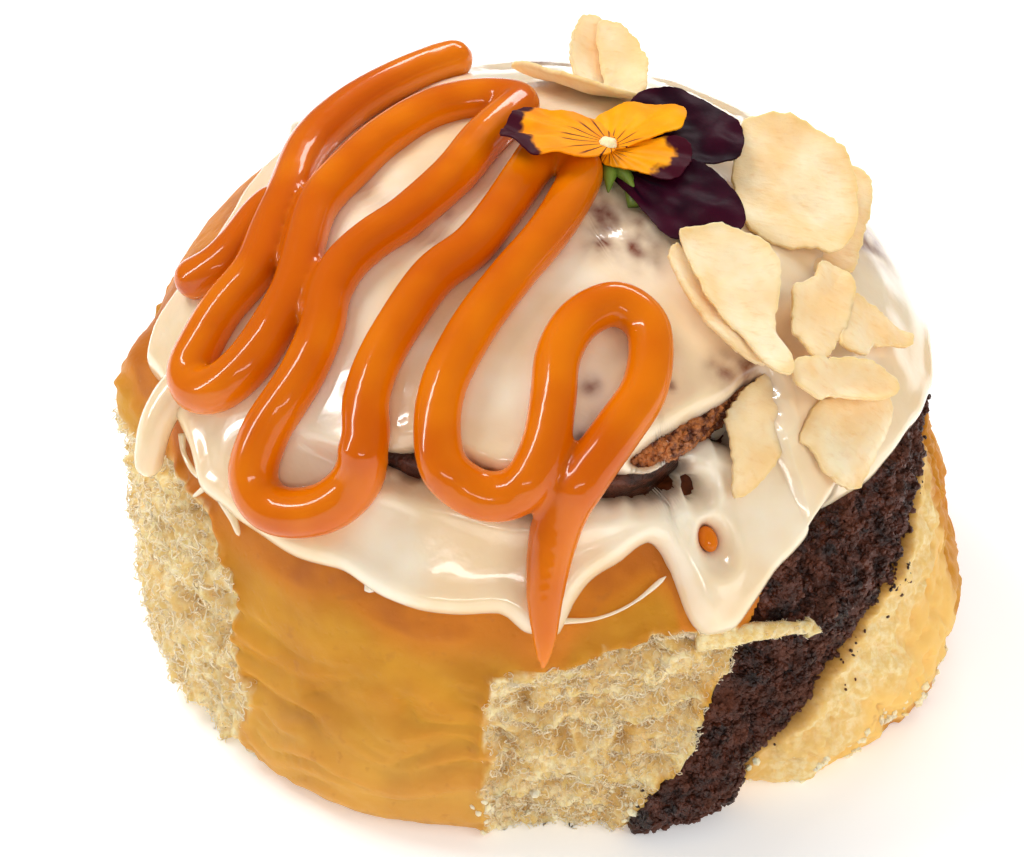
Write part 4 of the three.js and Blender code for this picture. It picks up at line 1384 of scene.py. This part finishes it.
FLAKES = [
    ("flake_big_under", (-2, 38, 1.6, -32, -4, 20), 1.2, [
        (-3, -7), (-4.5, -2), (-3.5, 3.5), (2.5, 7.5), (6, 6), (10, -1), (11.5, -4), (10.5, -7),
        (8, -10),
        (5, -10.5), (1, -9.5)]),
    ("flake_big", (-6, 34, 3.4, -32, -4, 24), 2.0, [
        (-6.5, -2), (-8, 1.5), (-5.5, 5.5), (-1, 7.2), (3, 7.4), (6.5, 5.2), (10.2, 1), (11, -4),
        (9, -5.6),
        (7, -8), (4.5, -9.6), (1.5, -9.8), (-1.5, -7.6), (-4.4, -5)]),
    ("flake_crown", (76, 17, 1.8, -40, 4, -22), 0.9, [
        (-9, -1.5), (-7, 2.4), (-2, 4), (4, 4.2), (8.4, 2.4), (10, -0.6), (6.4, -3.6), (0, -4.6),
        (-5.6, -4)]),
    ("flake_upright_left", (72, 24, 4.0, 100, 48, 10), 1.0, [
        (4.8, 1.6), (4.4, -0.4), (2, -1.2), (-1.5, -2), (-5, -2.4), (-6, 0.6), (-5, 3.2), (-1, 4.2),
        (2.8, 3.2)]),
    ("flake_upright_right", (58, 24, 3.8, 80, 46, -6), 1.0, [
        (4.6, 5.2), (5, 3), (4, 1.4), (2.4, -0.2), (0, -1.6), (-4, -2), (-6, -0.4), (-5, 2.4),
        (-1, 4.2),
        (2.4, 5.4)]),
    ("flake_sliver", (-52, 39, 1.2, -52, 0, -10), 0.5, [
        (-8.6, -1), (-7.4, -3.2), (-4, -4.2), (-0.6, -4.2), (3, -4), (6, -3), (8.6, -0.8), (8, 0.4),
        (5.2, -0.4), (2, -0.8), (-1, -1.3), (-4, -1.5), (-6.6, -0.8)]),
    ("flake_curled", (-47, 38, 3.0, -55, 0, 12), 2.2, [
        (-8.2, -3.6), (-8, -1), (-7, 1.4), (-5.5, 2.6), (-3.5, 4), (-1, 4.5), (1.5, 4), (4, 2.6),
        (6.5, 0.6),
        (8.4, -0.2), (10.6, 0), (12.6, -0.8), (12.4, -2.4), (10.8, -3.2), (8.5, -3.6), (6.2, -4),
        (3.6, -4.8),
        (0.5, -5.2), (-3.2, -4.8), (-6, -4.4)]),
    ("flake_shard", (-32, 47, 2.2, -108, 0, 0), 0.8, [
        (-3.8, -3.6), (-5, -2.4), (-5.6, -0.8), (-5, 1), (-3, 2), (1, 2.6), (4.5, 2.6),
        (8.4, 2.2), (9.6, 1),
        (8.6, -1), (8, -2.6), (5.4, -4), (2.4, -5), (-1, -3.4)]),
    ("flake_shard_outer", (-25, 53, 1.8, -70, 0, 0), 0.7, [
        (-2, -3.8), (-1.6, -1), (-0.6, 1), (0.2, 3), (0.6, 5), (2.2, 4.6), (3.4, 1), (4.4, -1.6),
        (6, -3),
        (6.8, -5.2), (6.4, -7.4), (4.4, -7), (1.6, -5.4)]),
    ("flake_level", (-39, 54.5, 3.0, 14, 0, -6), 0.9, [
        (-9, 0.8), (-5.5, 1.2), (-1, 1.2), (2.5, 0.6), (4.8, -0.8), (5.6, -2.4), (3.6, -3.8),
        (-1.5, -3.8),
        (-5, -3.4), (-6.6, -3.8), (-8.4, -3), (-9.6, -1.2)]),
    ("flake_leaf", (-56, 57, 1.4, -112, 0, 0), -0.8, [
        (-6.2, -4.4), (-6.8, -2.4), (-7, -0.2), (-5.4, 1.6), (-3, 1.4), (-0.6, 2.6), (1.5, 3.1),
        (5.4, 3.1),
        (7.1, 2), (5.2, -0.6), (3.2, -3), (1.4, -4.8), (-1, -5.2), (-3.6, -5.2)]),
    ("flake_sunk", (-44, 60, 0.9, -100, 0, 0), -0.8, [
        (0, -4.4), (-3, -2.2), (-5.8, 1), (-7.8, 3.2), (-6.4, 4.6), (-4, 5.1), (-1.5, 5.2), (1.4, 5.6),
        (3.8, 5.6), (5.4, 4), (5.8, 1), (5, -2), (4.8, -4)]),
]
for k, (name, seat, dish, outline) in enumerate(FLAKES):
    outline = np.array(outline, float)
    centre = outline.mean(axis=0)
    span = np.ptp(outline, axis=0)

    def flake_height(x, y, k=k, centre=centre, span=span, dish=dish):
        u = (x - centre[0]) / span[0] * 2
        v = (y - centre[1]) / span[1] * 2
        at = np.stack([x / 5.5, y / 4, np.full(x.shape, k * 3.3)], -1)
        fine_at = np.stack([x / 2.2, y / 0.9, np.full(x.shape, k * 5.1)], -1)
        return dish * (v * v * 0.7 + u * u * 0.45 - 0.3) + 0.55 * noise(at) + 0.07 * noise(fine_at)

    made = leaf(name, outline, seat_frame(*seat), flake_height, FLAKE_THICKNESS, jag=0.45, seed=k,
                taper=0.45)
    finished(made, almond, "almond", name)
print("flakes", len(FLAKES))

# %% [markdown]
# ## The viola
# Three yellow petals in front and two dark purple ones behind, each a plate that starts at the eye. The
# lower petal is the broadest and carries the veins and a ragged dark edge; ruffles grow towards the rims.

# %% Viola
EYE = np.array([6.8, -6.1, 68.0])
PETAL_THICKNESS = 0.3
PETALS = [
    ("petal_upper_back", 11, 2, 4, 1.8, 0.9, purple, "purple_petal", [
        (-1, 0.5), (2, 5), (5, 9.6), (8, 10.9), (10.8, 10.8), (13.4, 9), (15.4, 6.6), (16.6, 3.6),
        (16.2, 0.6),
        (14.5, -1.6), (10, -2.4), (5, -2.2), (1, -1.6)]),
    ("petal_upper_front", -38, -2, 14, 2.2, 1.0, purple, "purple_petal", [
        (-1, 0), (3, 2.4), (7.5, 5.4), (10.5, 5.6), (13.6, 4.6), (16.6, 3), (18.2, 1.2), (18.4, -0.8),
        (17.2, -1.4), (15.8, -0.6), (16.6, -2.4), (15.6, -4.2), (13, -5.4), (10.6, -5.2), (8, -4.2),
        (5, -3), (1.4, -1.6)]),
    ("petal_side_back", 38, 9, 0, 0.2, 0.8, yellow_side, "yellow_petal", [
        (-0.6, 0.8), (2.2, 5.2), (4.8, 5.6), (7, 5), (9, 3.8), (11, 2.4), (11.6, 0.4), (10.4, -1.4),
        (8.5, -2.5), (6.2, -2.2), (3.6, -1.6), (1, -1)]),
    ("petal_side_front", -12, 0, 10, 0.5, 0.9, yellow_tip, "yellow_petal", [
        (-0.8, 0.8), (1.8, 2), (4.5, 2.8), (7, 3.8), (8.8, 3.4), (9.4, 1.2), (9.2, -1), (8.4, -2.6),
        (6.6, -3.4), (4.2, -3), (2, -2.8), (-0.4, -2.2)]),
    ("petal_lower", 171, 12, 8, -0.4, 1.1, yellow_lower, "yellow_petal", [
        (11.8, -3.4), (10.6, -5.4), (8.5, -6), (6.5, -5.4), (4, -5.6), (1.6, -4.6), (-0.6, -1.6),
        (-0.6, 1.8),
        (1.5, 4.8), (4, 6.3), (7, 6.6), (9.5, 5.8), (11.6, 4.2), (12.6, 2.4), (12.2, -0.6)]),
]
for k, (name, heading, rise, roll, below, ruffle, material, slot_name, outline) in enumerate(PETALS):

    def petal_height(x, y, k=k, ruffle=ruffle):
        reach = np.hypot(x, y)
        angle = np.arctan2(y, x)
        outer_part = smooth((reach - 3) / 9)
        crumple = noise(np.stack([x / 3.2, y / 3.2, 0 * x + k * 7.7], -1))
        wave = np.sin(angle * (7 + k) + k) * 0.45 + crumple * 0.7
        cup_here = 0.018 * y * y
        return ruffle * outer_part * wave + cup_here - 0.0035 * reach**2 * (1 + 0.3 * k % 2)

    axes = turned("z", heading) @ turned("y", -rise) @ turned("x", roll)
    origin = EYE - np.array([0, 0, below])
    made = leaf(name, outline, (origin, axes), petal_height, PETAL_THICKNESS, rings=22, jag=0.22,
                seed=20 + k, taper=0.3)
    finished(made, material, slot_name, name)


# %% Eye and calyx
def ball(name, centre, radii, material, slot_name, node, bumps=0.0):
    """A bumpy closed bead."""
    turns_here = np.linspace(0, 360, 32, endpoint=False)
    downs_here = np.linspace(0, 180, 18)[1:-1]
    T2, D2 = np.meshgrid(turns_here, downs_here)
    d = direction(T2, D2)
    r = 1 + bumps * noise(d * 2.3)
    points = centre + d * r[..., None] * np.array(radii)
    poles = [centre + np.array([0, 0, radii[2]]), centre - np.array([0, 0, radii[2]])]
    piece = star_grid(name, points, poles, {"edge": np.zeros(T2.shape)})
    return finished(piece, material, slot_name, node)


ball("flower_eye", EYE + np.array([-0.3, -0.3, 0.5]), (1.1, 1.0, 0.9), eye_finish, "yellow_petal",
     "flower_eye", 0.15)
calyx_parts = []
stem_foot = place(icing_radius, -50, 19, 0)
root = EYE + np.array([0.2, 0.2, -2.4])
stem = rounded([root, (root + stem_foot) / 2 + np.array([0.5, 0.3, 0.8]), stem_foot], closed=False, steps=8)
calyx_parts.append(tube(stem, np.full(len(stem), 0.8), 10))
for k, turn in enumerate((-95, -60, -25, 30, 100, 170)):
    a = math.radians(turn)
    tip = root + np.array([math.cos(a) * 5.2, math.sin(a) * 5.2, -0.6])
    mid = root + np.array([math.cos(a) * 2.6, math.sin(a) * 2.6, 0.3])
    sepal = rounded([root, mid, tip], closed=False, steps=5)
    width = np.array([0.7, 1.0, 1.1, 1.1, 1.0, 0.9, 0.8, 0.6, 0.45, 0.3, 0.12])[:len(sepal)]
    points, faces = tube(sepal, width, 10)
    calyx_parts.append((points, faces))
points, faces = joined(calyx_parts)
calyx = mesh_piece("flower_calyx", points, faces)
finished(calyx, green, "green_calyx", "flower_calyx")

# %% [markdown]
# ## Floor, light and camera
# A plain white table, with a faint glow of its own so that the shadow on it stays soft. The two big lamps
# only light: seen as reflections they would wash the colours out. A narrow strip only shines, and draws the
# long hard highlights down the caramel. The room is darker to a reflection than it is as light.

# %% Floor
bpy.ops.mesh.primitive_plane_add(size=6, location=(0, 0, -0.0002))
floor = bpy.context.object
floor.name = "floor"
f = Finish("floor")
paper = f.mix(f.noise(0.01, 2), tint("fcfcfc"), tint("ffffff"))
floor.data.materials.append(f.surface({
    "Base Color": paper,
    "Roughness": 0.9,
    "Specular IOR Level": 0.1,
    "Emission Color": tint("fffefc"),
    "Emission Strength": 0.22,
}))


# %% Lights
def lamp(name, location, target, size, power, lights=True, shines=True):
    """A rectangle of light, in metres and watts, that can leave out its light or its reflection."""
    light = bpy.data.lights.new(name, "AREA")
    light.shape = "RECTANGLE"
    light.size = size[0]
    light.size_y = size[1]
    light.energy = power
    thing = bpy.data.objects.new(name, light)
    thing.location = location
    thing.visible_diffuse = lights
    thing.visible_glossy = shines
    thing.rotation_euler = (Vector(target) - Vector(location)).to_track_quat("-Z", "Y").to_euler()
    bpy.context.scene.collection.objects.link(thing)
    return thing


ROOM_AS_LIGHT = 0.48
ROOM_AS_REFLECTION = 0.14
lamp("key", (-0.45, 0.25, 0.75), (0, 0, 0.03), (0.45, 0.35), 4.8, shines=False)
lamp("strip", (-0.6, -0.15, 0.5), (0, 0, 0.04), (0.07, 0.8), 4.0, lights=False)
lamp("rim", (0.25, 0.6, 0.55), (0, 0, 0.04), (0.5, 0.12), 2.0)
lamp("fill", (0.7, -0.6, 0.6), (0, 0, 0.03), (0.6, 0.6), 3.0, shines=False)
lamp("front", (-0.1, -0.9, 0.45), (0, 0, 0.03), (0.5, 0.08), 1.2)
world = bpy.data.worlds.new("room")
world.use_nodes = True
world.node_tree.nodes["Background"].inputs[0].default_value = (1, 1, 1, 1)
room = world.node_tree.nodes["Background"]
ray_kind = world.node_tree.nodes.new("ShaderNodeLightPath")
dimmer = world.node_tree.nodes.new("ShaderNodeMapRange")
dimmer.inputs["To Min"].default_value = ROOM_AS_LIGHT
dimmer.inputs["To Max"].default_value = ROOM_AS_REFLECTION
world.node_tree.links.new(ray_kind.outputs["Is Glossy Ray"], dimmer.inputs["Value"])
world.node_tree.links.new(dimmer.outputs[0], room.inputs[1])
bpy.context.scene.world = world
bpy.context.scene.view_settings.view_transform = "Standard"

# %% Camera
view = bpy.data.cameras.new("view")
view.lens = 100
view.sensor_width = 36
view.clip_start = 0.01
camera = bpy.data.objects.new("view", view)
camera.location = (-0.0045, -0.2881, 0.2398)
camera.rotation_euler = (math.radians(53), 0, 0)
bpy.context.scene.collection.objects.link(camera)
bpy.context.scene.camera = camera
